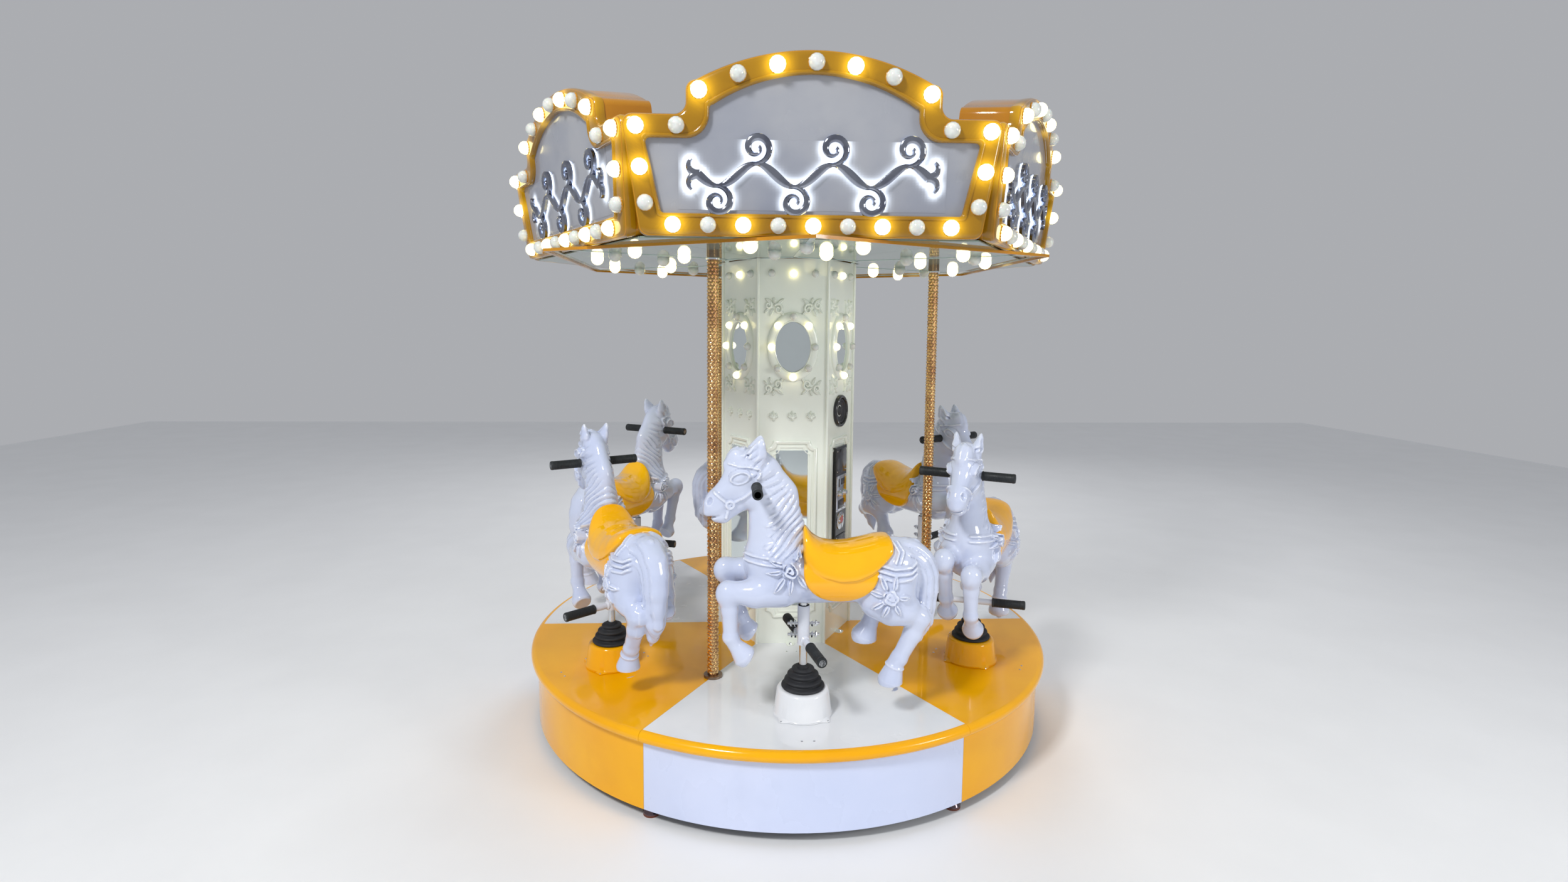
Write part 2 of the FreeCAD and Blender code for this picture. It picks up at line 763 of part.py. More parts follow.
def make_coin_door(face):
    """Hinged service door on the coin face, with the start button through it."""
    half = s.pane_half_width - s.door_clearance
    low = s.deck_height + s.pane_bottom
    door = board(
        -half, face - s.door_clearance - s.door_board, low,
        half * 2, s.door_board, s.pane_top - s.pane_bottom,
    )
    height = s.deck_height + s.button_height
    hole = primitive(
        "Cylinder", (0, face - s.door_clearance, height), about((1, 0, 0), 90),
        Radius=s.button_radius + s.button_clearance, Height=s.door_board,
    )
    hinge = primitive(
        "Cylinder", (-half, face - s.door_clearance - s.door_board - 3, low),
        Radius=3, Height=s.pane_top - s.pane_bottom,
    )
    turn = about((0, 0, 1), COIN_TURN)
    keep(linked(together([cut(door, hole), hinge]), rotation=turn), "coin_door")
    button = primitive(
        "Cylinder", (0, face - s.door_clearance - 3, height), about((1, 0, 0), 90),
        Radius=s.button_radius, Height=s.door_board + s.button_reach - 3,
    )
    keep(linked(button, rotation=turn), "coin_button")


# --- canopy ---

def sign_outline(inset):
    """Arched sign with square shoulders, moved in by the inset; (across, up) from its lower edge."""
    corner = 26 - inset * 0.25
    fillet = 34 + inset * 0.5
    near = 1 - DIAGONAL
    low = s.sign_bottom_half - inset
    wide = s.sign_shoulder_half - inset
    shoulder = s.sign_shoulder - inset
    notch = s.sign_notch_half - inset
    edge = s.sign_arch_edge - inset
    crown = s.sign_crown - inset
    right = [
        (low - corner, as_size(inset), low - corner * near, inset + corner * near),
        (low, inset + corner),
        (wide, shoulder - corner, wide - corner * near, shoulder - corner * near),
        (wide - corner, shoulder),
        (notch + fillet, shoulder, notch + fillet * near, shoulder + fillet * near),
        (notch, shoulder + fillet),
        (notch, edge - corner, notch - corner * near, edge - corner * near),
    ]
    arch = [(notch - corner, edge, as_size(0), crown)]
    left = [
        (-(notch - corner), edge, -(notch - corner * near), edge - corner * near),
        (-notch, edge - corner),
        (-notch, shoulder + fillet, -(notch + fillet * near), shoulder + fillet * near),
        (-(notch + fillet), shoulder),
        (-(wide - corner), shoulder, -(wide - corner * near), shoulder - corner * near),
        (-wide, shoulder - corner),
        (-low, inset + corner, -(low - corner * near), inset + corner * near),
        (-(low - corner), as_size(inset)),
    ]
    return right + arch + left


def wedge(side_gap, bottom, height):
    """Sixth of the canopy towards -Y, kept back from its two mitre planes."""
    apex = side_gap / SIN_30
    reach = s.sign_apothem * 1.4
    corners = [
        (0, -apex), (reach * TAN_30, -apex - reach), (-(reach * TAN_30), -apex - reach),
    ]
    return padded("XY_Plane", corners, height, (0, 0, bottom))


def on_sign(obj, across=0, out=0, up=0):
    """Places an object made in a sign's own frame (across, out = -Y, up) on the front sign."""
    lean = about((1, 0, 0), SIZES["sign_lean"])
    ahead = lean.multVec(Vector(0, -1, 0))
    rise = lean.multVec(Vector(0, 0, 1))
    obj.Placement = Placement(Vector(), lean)
    base = s.ceiling_height + s.ceiling_board
    return place(
        obj, across, -s.sign_apothem + out * ahead.y + up * rise.y,
        base + out * ahead.z + up * rise.z, lean,
    )


def sign_body(inset, front, depth):
    """Padded sign outline whose front lies the given distance behind the sign's face."""
    return on_sign(padded("XZ_Plane", sign_outline(inset), depth), out=-front)


def make_canopy():
    base = s.ceiling_height + s.ceiling_board
    tall = s.sign_crown * 1.2
    outer = common(sign_body(0, 0, s.sign_depth), wedge(s.joint_gap / 2, base, tall))
    wall = s.casing_wall
    skin = s.sign_recess + wall
    inner = common(
        sign_body(wall, skin, s.sign_depth - skin - wall),
        wedge(s.joint_gap / 2 + wall, base, tall),
    )
    recess = sign_body(s.sign_border, -1, s.sign_recess + 1)
    casing = cut(cut(outer, inner), recess)
    keep(round_centre(casing, CORNER_TURNS), "canopy_casings")
    face = sign_body(s.sign_border + 0.5, s.sign_recess - s.sign_board, s.sign_board)
    keep(round_centre(face, CORNER_TURNS), "sign_faces")
    keep(round_centre(make_scroll(), CORNER_TURNS), "sign_scrolls")

    ceiling_half = s.ceiling_apothem * TAN_30
    column = s.column_apothem + 20
    corners = [
        (column, -(column - 1) * TAN_30), (s.ceiling_apothem, 1 - ceiling_half),
        (s.ceiling_apothem, ceiling_half - 1), (column, (column - 1) * TAN_30),
    ]
    mirror = padded("XY_Plane", corners, s.ceiling_board, (0, 0, s.ceiling_height))
    keep(round_centre(mirror, SECTOR_TURNS), "ceiling_mirrors")

    lean = math.tan(math.radians(SIZES["sign_lean"]))
    slope = 1 / math.cos(math.radians(SIZES["sign_lean"]))
    roof_apothem = s.sign_apothem - s.sign_depth * slope + s.roof_rise * lean - 2
    roof = primitive(
        "Prism", (0, 0, base + s.roof_rise), Circumradius=roof_apothem / COS_30,
        Height=s.roof_board,
    )
    roof.Polygon = 6
    keep(roof, "canopy_roof")


def make_scroll():
    """Metal scrollwork standing off each sign's face: a centre rosette and two S-shaped arms."""
    face = s.sign_recess - s.sign_board
    pieces = []
    for across, up, radius, ring in ((0, 165, 42, 12), (-95, 150, 48, 11), (95, 150, 48, 11),
                                     (-190, 172, 42, 11), (190, 172, 42, 11),
                                     (-275, 160, 40, 10), (275, 160, 40, 10)):
        ringed = cut(
            primitive("Cylinder", Radius=radius, Height=s.scroll_depth),
            primitive("Cylinder", Radius=radius - ring, Height=s.scroll_depth),
        )
        copy = on_sign(linked(ringed), across, -face, up)
        copy.Placement.Rotation = about((1, 0, 0), 90 + SIZES["sign_lean"])
        pieces.append(copy)
    return together(pieces)


def half_bulb(radius, seat):
    """Ball lamp facing -Y, cut flat where it meets its board; its centre stands off by the seat."""
    return primitive(
        "Sphere", rotation=about((1, 0, 0), 90), Radius=radius, Angle1=-arcsine(seat / radius),
    )


def make_bulbs():
    """Round bulbs on the sign borders, the column faces and the ceiling; every second one is lit."""
    bulb = half_bulb(s.bulb_radius, s.bulb_seat)
    small = half_bulb(s.small_bulb_radius, s.small_bulb_seat)
    border = s.sign_border / 2
    rows = {"bulbs_lit": [], "bulbs_unlit": []}

    def on_border(lit, across, up):
        rows["bulbs_lit" if lit else "bulbs_unlit"].append(
            on_sign(linked(bulb), across, s.bulb_seat, up))

    for number in range(-4, 5):
        on_border(number % 2 == 0, s.bottom_bulb_pitch * number, border)
    for side in (-1, 1):
        on_border(False, (s.sign_bottom_half - border + 9) * side, s.low_bulb)
        on_border(True, (s.sign_bottom_half - border + 22) * side, s.high_bulb)
        on_border(True, (s.sign_shoulder_half - border - 7) * side, s.sign_shoulder - border - 2)
        on_border(False, (s.sign_notch_half + border) * side, s.sign_shoulder - border)
        for step in (1, 2, 3):
            across = (s.sign_notch_half - border - 4) * (side * step / 3)
            drop = (s.sign_crown - s.sign_arch_edge) * (step / 3.1) ** 2
            on_border(step % 2 == 1, across, s.sign_crown - border - 2 - drop)
    on_border(False, as_size(0), s.sign_crown - border - 2)

    def on_column(lit, across, height, board_depth):
        rows["bulbs_lit" if lit else "bulbs_unlit"].append(linked(
            small, across, -s.column_apothem - board_depth - s.small_bulb_seat,
            s.deck_height + height))

    for side in (-1, 0, 1):
        on_column(side == 0, s.top_bulb_across * side, s.top_bulb_height, 0)
    ring_width = (s.oval_half_width + s.oval_mirror_width) / 2
    ring_height = (s.oval_half_height + s.oval_mirror_height) / 2
    for eighth, lit in enumerate((0, 1, 0, 1, 1, 0, 1, 0)):
        turn = math.radians(45 * eighth)
        across = ring_width * math.cos(turn)
        on_column(lit, across, s.oval_centre + ring_height * math.sin(turn), s.oval_depth)

    for radius, count in ((s.ceiling_row_inner, 2), (s.ceiling_row_outer, 3)):
        for number in range(count):
            across = s.ceiling_bulb_pitch * (number - (count - 1) / 2)
            lit = (number + count) % 2 == 1
            rows["bulbs_lit" if lit else "bulbs_unlit"].append(linked(
                bulb, across, -radius, s.ceiling_height - s.bulb_seat,
                about((1, 0, 0), 90)))
    for name, bulbs in rows.items():
        keep(round_centre(together(bulbs), CORNER_TURNS), name)


# --- horses ---
# A horse is made in place at the front, facing -X. Its masses are given for a horse 720 mm long,
# as (x, z) from the rod and the deck, and follow the horse's length.

def horse_size(number):
    return s.horse_length * (number / 720)


def horse_point(x, y, z):
    return horse_size(x), -s.horse_circle + horse_size(y), s.deck_height + horse_size(z)


def mass(x, z, long, wide, high, y=0):
    """Rounded mass of the horse: centre and half sizes."""
    return primitive(
        "Ellipsoid", horse_point(x, y, z), Radius1=horse_size(high), Radius2=horse_size(long),
        Radius3=horse_size(wide), Angle1=-90, Angle2=90, Angle3=360,
    )


def limb(start, end, start_radius, end_radius):
    """Tapered limb with two round ends, between two points of the horse."""
    length = horse_size(math.dist(start, end))
    first = horse_size(start_radius)
    last = horse_size(end_radius)
    profile = [
        (0, -first, first * DIAGONAL, -first * DIAGONAL), (first, 0),
        (last, length, last * DIAGONAL, length + last * DIAGONAL), (0, length + last),
    ]
    return [revolved(profile, at=horse_point(*start), rotation=towards(start, end))]


def horse_blank():
    pieces = limb((-20, 0, 442), (190, 0, 442), 88, 90)
    pieces += limb((-75, 0, 425), (-78, 0, 480), 96, 86) + limb((250, 0, 430), (285, 0, 455), 95, 92)
    pieces += limb((-85, 0, 490), (-150, 0, 715), 84, 50)
    pieces += limb((-185, 0, 765), (-205, 0, 710), 48, 54) + limb((-195, 0, 735), (-272, 0, 662), 52, 38)
    pieces += limb((320, 0, 500), (365, 0, 430), 46, 44) + limb((365, 0, 430), (362, 0, 350), 43, 20)
    for side in (-1, 1):
        lift = 20 if side > 0 else 0
        near = side < 0
        hock = (300, 50 * side, 190) if near else (215, 50 * side, 275)
        hoof = (282, 50 * side, 136) if near else (195, 50 * side, 235)
        pieces += limb((-170, side * 24, 765), (-150, side * 30, 840), 26, 8)
        pieces += limb((-60, side * 42, 415), (-228, side * 48, 420 + lift), 50, 38)
        pieces += limb((-228, side * 48, 420 + lift), (-215, side * 50, 290), 34, 24)
        pieces += limb((-215, side * 50, 290), (-188, side * 50, 215), 26, 32)
        pieces += limb((275, side * 46, 420), (295, side * 46, 365), 62, 56)
        pieces += limb((300, side * 48, 350), (345, side * 50, 300), 48, 34)
        pieces += limb((345, side * 50, 300), hock, 32, 22) + limb(hock, hoof, 26, 36)
    return fused(pieces)


def make_horse(blank):
    """The horse at the front: shell, saddle, steelwork and grips."""
    rod_length = s.deck_height + horse_size(470) - s.rod_bottom
    rod_hole = primitive(
        "Cylinder", horse_point(0, 0, 300), Radius=s.rod_radius + s.rod_clearance,
        Height=s.deck_height + horse_size(470) - (s.deck_height + horse_size(300)),
    )
    bar_height = s.deck_height + s.handlebar_height
    bar_half = s.handlebar_grip_start + s.handlebar_grip_length
    bar_hole = primitive(
        "Cylinder", (-s.handlebar_ahead, -s.horse_circle + bar_half, bar_height),
        about((1, 0, 0), 90), Radius=s.handlebar_bar + s.rod_clearance, Height=bar_half * 2,
    )
    saddle_blank = fused([
        mass(112, 455, 138, 108, 94), mass(22, 535, 34, 62, 58), mass(208, 510, 52, 84, 54),
    ])
    saddle_room = fused([blank, board(
        *horse_point(-150, -200, 250), horse_size(600), horse_size(400), horse_size(128),
    )])
    saddle = cut(saddle_blank, saddle_room)
    shell = cut(cut(blank, rod_hole), bar_hole)

    rod = primitive(
        "Cylinder", (0, -s.horse_circle, s.rod_bottom), Radius=s.rod_radius, Height=rod_length,
    )
    sleeve_low = s.deck_height + s.sleeve_bottom
    sleeve = tube(
        s.sleeve_radius, s.rod_radius, s.belly_height - s.sleeve_bottom - 8,
        (0, -s.horse_circle, sleeve_low),
    )
    bars = []
    grips = []
    foot_turn = Rotation(Vector(0, 0, 1), Vector(0.21, -0.98, 0))
    foot_height = s.deck_height + s.footrest_height
    for side in (0, 180):
        rotation = about((0, 0, 1), side) * foot_turn
        way = rotation.multVec(Vector(0, 0, 1))
        arm = s.footrest_half - s.sleeve_radius
        start = (
            s.sleeve_radius * way.x, -s.horse_circle + s.sleeve_radius * way.y, foot_height,
        )
        bars.append(primitive("Cylinder", start, rotation, Radius=s.footrest_bar, Height=arm))
        inner = s.footrest_half - s.grip_length
        root = (inner * way.x, -s.horse_circle + inner * way.y, foot_height)
        grips.append(cut(
            primitive("Cylinder", root, rotation, Radius=s.grip_radius, Height=s.grip_length),
            primitive("Cylinder", start, rotation, Radius=s.footrest_bar, Height=arm),
        ))
    handlebar = primitive(
        "Cylinder", (-s.handlebar_ahead, -s.horse_circle + bar_half, bar_height),
        about((1, 0, 0), 90), Radius=s.handlebar_bar, Height=bar_half * 2,
    )
    for start in (s.handlebar_grip_start, -bar_half):
        grips.append(cut(
            primitive(
                "Cylinder",
                (-s.handlebar_ahead, -s.horse_circle + start + s.handlebar_grip_length, bar_height),
                about((1, 0, 0), 90), Radius=s.grip_radius, Height=s.handlebar_grip_length,
            ), handlebar,
        ))
    joined_sleeve = cut(fused([sleeve] + bars), rod)
    steelwork = together([rod, joined_sleeve, handlebar])
    return {"shell": shell, "saddle": saddle, "steelwork": steelwork, "grips": together(grips)}


def make_horses():
    pieces = make_horse(horse_blank())
    for number, turn in enumerate(SECTOR_TURNS, start=1):
        drop = -s.low_drop if turn in YELLOW_TURNS else as_size(0)
        for name, piece in pieces.items():
            copy = linked(piece, 0, 0, drop, about((0, 0, 1), turn + 90))
            keep(copy, "horse_%d_%s" % (number, name))


# --- build, check and write ---

def check_document():
    for obj in doc.Objects:
        if "Invalid" in obj.State or "Error" in obj.State:
            raise RuntimeError("failed object: %s (%s)" % (obj.Name, obj.Label))
    for obj in SUB_PARTS:
        shape = Part.getShape(obj)
        if shape.isNull() or not shape.isValid() or not shape.Solids:
            raise RuntimeError("bad shape: " + obj.Label)


def write_parts():
    os.makedirs("parts", exist_ok=True)
    for obj in SUB_PARTS:
        Part.getShape(obj).exportStep("parts/%s.step" % obj.Label)
    print("wrote %d sub-parts" % len(SUB_PARTS))


fill_sheet()
beam_top_height = make_base()
make_drive(beam_top_height)
make_turntable(beam_top_height)
make_deck()
make_column()
make_column_fittings()
make_canopy()
make_bulbs()
make_horses()
doc.recompute()
check_document()
write_parts()
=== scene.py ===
import math
import bmesh
import bpy
import numpy as np
import openvdb as vdb
from mathutils import Matrix, Vector


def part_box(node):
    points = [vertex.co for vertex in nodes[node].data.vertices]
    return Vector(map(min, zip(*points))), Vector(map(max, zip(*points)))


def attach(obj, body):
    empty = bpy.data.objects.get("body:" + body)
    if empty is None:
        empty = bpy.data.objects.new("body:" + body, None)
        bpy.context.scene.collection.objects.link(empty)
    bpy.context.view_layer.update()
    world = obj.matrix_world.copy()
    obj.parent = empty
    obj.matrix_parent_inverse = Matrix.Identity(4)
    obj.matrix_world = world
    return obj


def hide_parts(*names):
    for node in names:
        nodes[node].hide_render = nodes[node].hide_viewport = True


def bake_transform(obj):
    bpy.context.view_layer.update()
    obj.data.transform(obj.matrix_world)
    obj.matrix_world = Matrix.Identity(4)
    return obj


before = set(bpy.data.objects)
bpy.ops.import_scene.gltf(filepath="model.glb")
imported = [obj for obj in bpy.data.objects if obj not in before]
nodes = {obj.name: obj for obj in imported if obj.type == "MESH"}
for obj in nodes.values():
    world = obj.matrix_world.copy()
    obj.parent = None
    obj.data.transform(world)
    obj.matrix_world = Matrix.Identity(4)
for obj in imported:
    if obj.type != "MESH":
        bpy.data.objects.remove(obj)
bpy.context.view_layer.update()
sectorTurns = (-90, -30, 30, 90, 150, -150)   # horse 1 to 6, +X towards +Y
cornerTurns = (0, 60, 120, 180, -120, -60)    # the six faces of the column and of the canopy

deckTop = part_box("deck_white")[1].z
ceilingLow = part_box("ceiling_mirrors")[0].z
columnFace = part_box("column_shell")[1].y      # from the axis to a flat face
rodLow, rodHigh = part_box("horse_1_steelwork")
horseCircle = -(rodLow.y + rodHigh.y) / 2     # from the axis to each rod
lowDrop = rodLow.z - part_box("horse_2_steelwork")[0].z

cameraSettings = {
    "place": (-0.2262, -3.0797, 1.4915),
    "yaw": 0.0486,      # to the right of +Y
    "pitch": 0.1003,    # downwards
    "roll": 0.0071,
    "lens": 17.86,
    "shift": (0.0097, -0.0231),
}


def makeCamera(settings):
    yaw, pitch, roll = settings["yaw"], settings["pitch"], settings["roll"]
    ahead = Vector((math.sin(yaw) * math.cos(pitch), math.cos(yaw) * math.cos(pitch), -math.sin(pitch)))
    side = Vector((math.cos(yaw), -math.sin(yaw), 0))
    above = side.cross(ahead)
    right = side * math.cos(roll) + above * math.sin(roll)
    up = above * math.cos(roll) - side * math.sin(roll)
    data = bpy.data.cameras.new("camera")
    data.lens = settings["lens"]
    data.sensor_width = 36
    data.shift_x, data.shift_y = settings["shift"]
    camera = bpy.data.objects.new("camera", data)
    bpy.context.scene.collection.objects.link(camera)
    turn = Matrix((right, up, -ahead)).transposed().to_4x4()
    camera.matrix_world = Matrix.Translation(settings["place"]) @ turn
    bpy.context.scene.camera = camera


makeCamera(cameraSettings)
print("camera ready")

studioSettings = {
    "world": (0.93, 0.95, 1.0),
    "worldStrength": 0.44,
    "floorColour": (0.86, 0.87, 0.88),
    "floorHalf": 9.0,
    # place, watts, size
    "keyLight": ((-2.3, -3.7, 4.5), 168, 0.8),
    "fillLight": ((3.6, -3.0, 2.2), 48, 1.0),
    "backLight": ((1.0, 4.6, 3.6), 80, 2.0),
    "lowLight": ((0.4, -3.6, 0.9), 7, 1.2),
    "aim": (0, 0, 0.9),
    "shining": ("keyLight", "fillLight"),   # the others stay out of the mirrors and the deck
}


def makeStudio(settings):
    scene = bpy.context.scene
    scene.view_settings.view_transform = "Standard"
    world = bpy.data.worlds.new("studio")
    scene.world = world
    world.use_nodes = True
    background = world.node_tree.nodes["Background"]
    background.inputs["Color"].default_value = (*settings["world"], 1)
    background.inputs["Strength"].default_value = settings["worldStrength"]
    for name in ("keyLight", "fillLight", "backLight", "lowLight"):
        place, watts, size = settings[name]
        data = bpy.data.lights.new(name, "AREA")
        data.energy = watts
        data.size = size
        lamp = bpy.data.objects.new(name, data)
        lamp.location = place
        aim = Vector(settings["aim"]) - Vector(place)
        lamp.rotation_euler = aim.to_track_quat("-Z", "Y").to_euler()
        lamp.visible_glossy = name in settings["shining"]
        scene.collection.objects.link(lamp)


makeStudio(studioSettings)


# materials: each is a call of one of a few finish functions

def addNode(tree, kind, values=None, **settings):
    item = tree.nodes.new(kind)
    for name, value in settings.items():
        setattr(item, name, value)
    for name, value in (values or {}).items():
        if isinstance(value, bpy.types.NodeSocket):
            tree.links.new(value, item.inputs[name])
        else:
            item.inputs[name].default_value = value
    return item


def newMaterial(name, **sockets):
    material = bpy.data.materials.new(name)
    material.use_nodes = True
    shader = material.node_tree.nodes["Principled BSDF"]
    for label, value in sockets.items():
        spaced = "".join(" " + c if c.isupper() else c for c in label).title().strip()
        shader.inputs[spaced.replace("Ior", "IOR")].default_value = value
    return material, material.node_tree, shader


def noiseAt(tree, scale, detail=3.0, stretch=(1, 1, 1)):
    place = addNode(tree, "ShaderNodeTexCoord")
    mapping = addNode(tree, "ShaderNodeMapping", {"Vector": place.outputs["Object"], "Scale": stretch})
    return addNode(tree, "ShaderNodeTexNoise", {
        "Vector": mapping.outputs["Vector"], "Scale": scale, "Detail": detail}).outputs["Fac"]


def spread(tree, value, low, high, toLow=0.0, toHigh=1.0):
    return addNode(tree, "ShaderNodeMapRange", {
        "Value": value, "From Min": low, "From Max": high, "To Min": toLow, "To Max": toHigh,
    }).outputs["Result"]


def blendColours(tree, share, first, second):
    mix = addNode(tree, "ShaderNodeMix", data_type="RGBA")
    tree.links.new(share, mix.inputs["Factor"])
    for socket, colour in ((mix.inputs[6], first), (mix.inputs[7], second)):
        if isinstance(colour, bpy.types.NodeSocket):
            tree.links.new(colour, socket)
        else:
            socket.default_value = (*colour, 1)
    return mix.outputs[2]


def addBump(tree, shader, height, strength, distance, below=None):
    values = {"Height": height, "Strength": strength, "Distance": distance}
    if below is not None:
        values["Normal"] = below
    bump = addNode(tree, "ShaderNodeBump", values)
    tree.links.new(bump.outputs["Normal"], shader.inputs["Normal"])
    return bump.outputs["Normal"]


def gelCoat(name, colour, shade, rough=(0.10, 0.26), ripple=0.05, wear=None, cloud=2.4, coat=0.55):
    # moulded, lacquered shell: slow colour drift, orange peel, handled patches, paler sharp edges, and
    # painted shade darkening the creases
    material, tree, shader = newMaterial(name, coatWeight=coat, coatRoughness=0.04,
                                         specularIorLevel=0.3)
    drift = spread(tree, noiseAt(tree, cloud, 4), 0.35, 0.7)
    body = blendColours(tree, drift, colour, shade)
    grime = spread(tree, noiseAt(tree, 9.0, 8), 0.56, 0.78, 0.0, 0.2)
    body = blendColours(tree, grime, body, [c * 0.86 for c in shade])
    if wear:
        edge = addNode(tree, "ShaderNodeNewGeometry").outputs["Pointiness"]
        creaseShade = [c * 0.72 for c in shade]
        body = blendColours(tree, spread(tree, edge, 0.515, 0.56, 0, 0.8), body, wear)
        # painted shade: creases and hollows darkened by pointiness, standing in for the shade that
        # falls there
        body = blendColours(tree, spread(tree, edge, 0.485, 0.43, 0, 0.75), body, creaseShade)
    tree.links.new(body, shader.inputs["Base Color"])
    smudge = spread(tree, noiseAt(tree, 6.0, 6, (1, 1, 0.6)), 0.4, 0.66, *rough)
    tree.links.new(smudge, shader.inputs["Roughness"])
    peel = addBump(tree, shader, noiseAt(tree, 170.0, 2), ripple, 0.001)
    addBump(tree, shader, noiseAt(tree, 7.0, 2), ripple * 1.5, 0.008, peel)
    return material


def metal(name, colour, rough, stretch=(1, 1, 1), scratches=0.12, tint=None):
    material, tree, shader = newMaterial(name, metallic=1.0)
    stain = spread(tree, noiseAt(tree, 14.0, 6), 0.42, 0.72)
    tree.links.new(blendColours(tree, stain, colour, tint or [c * 0.78 for c in colour]),
                   shader.inputs["Base Color"])
    grain = noiseAt(tree, 260.0, 4, stretch)
    tree.links.new(spread(tree, grain, 0.3, 0.7, rough * 0.7, rough * 1.5), shader.inputs["Roughness"])
    addBump(tree, shader, grain, scratches, 0.0004)
    return material


def rubber(name, colour, rough=0.62, grain=420.0):
    material, tree, shader = newMaterial(name, specularIorLevel=0.35)
    dust = spread(tree, noiseAt(tree, 18.0, 6), 0.5, 0.8, 0.0, 0.5)
    tree.links.new(blendColours(tree, dust, colour, [c * 1.6 + 0.02 for c in colour]),
                   shader.inputs["Base Color"])
    tree.links.new(spread(tree, noiseAt(tree, 30.0, 4), 0.3, 0.7, rough - 0.12, rough + 0.12),
                   shader.inputs["Roughness"])
    addBump(tree, shader, noiseAt(tree, grain, 2), 0.25, 0.0006)
    return material


def mirrorGlass(name, tint, silver=1.0, coat=1.0):
    material, tree, shader = newMaterial(name, metallic=silver, coatWeight=coat, coatRoughness=0.02)
    film = spread(tree, noiseAt(tree, 5.0, 6), 0.45, 0.75)
    tree.links.new(blendColours(tree, film, tint, [c * 0.9 for c in tint]), shader.inputs["Base Color"])
    smear = spread(tree, noiseAt(tree, 11.0, 8), 0.4, 0.7, 0.02, 0.09)
    tree.links.new(smear, shader.inputs["Roughness"])
    return material


def glowing(name, colour, strength, base):
    material, tree, shader = newMaterial(name, baseColor=(*base, 1), roughness=0.25,
                                         emissionColor=(*colour, 1))
    tree.links.new(spread(tree, noiseAt(tree, 60.0, 2), 0.3, 0.7, strength * 0.85, strength * 1.15),
                   shader.inputs["Emission Strength"])
    return material


def frostedGlobe(name, colour, shade):
    # cloudy plastic globe
    material, tree, shader = newMaterial(name, coatWeight=0.8, coatRoughness=0.05,
                                         subsurfaceWeight=0.15)
    cloud = spread(tree, noiseAt(tree, 45.0, 3), 0.35, 0.7)
    tree.links.new(blendColours(tree, cloud, colour, shade), shader.inputs["Base Color"])
    haze = spread(tree, noiseAt(tree, 90.0, 2), 0.3, 0.7, 0.1, 0.24)
    tree.links.new(haze, shader.inputs["Roughness"])
    addBump(tree, shader, noiseAt(tree, 240.0, 2), 0.15, 0.0008)
    return material


def litPlastic(name, colour, shade, light, strength):
    # lacquered plastic with painted light: emission is painted where the "glow" attribute says that a
    # lamp is close, standing in for the lamps' light on the plastic
    material = gelCoat(name, colour, shade, rough=(0.12, 0.24))
    tree = material.node_tree
    shader = tree.nodes["Principled BSDF"]
    shader.inputs["Emission Color"].default_value = (*light, 1)
    glow = addNode(tree, "ShaderNodeAttribute", attribute_name="glow")
    power = spread(tree, glow.outputs["Fac"], 0, 1, 0, strength)
    tree.links.new(power, shader.inputs["Emission Strength"])
    return material


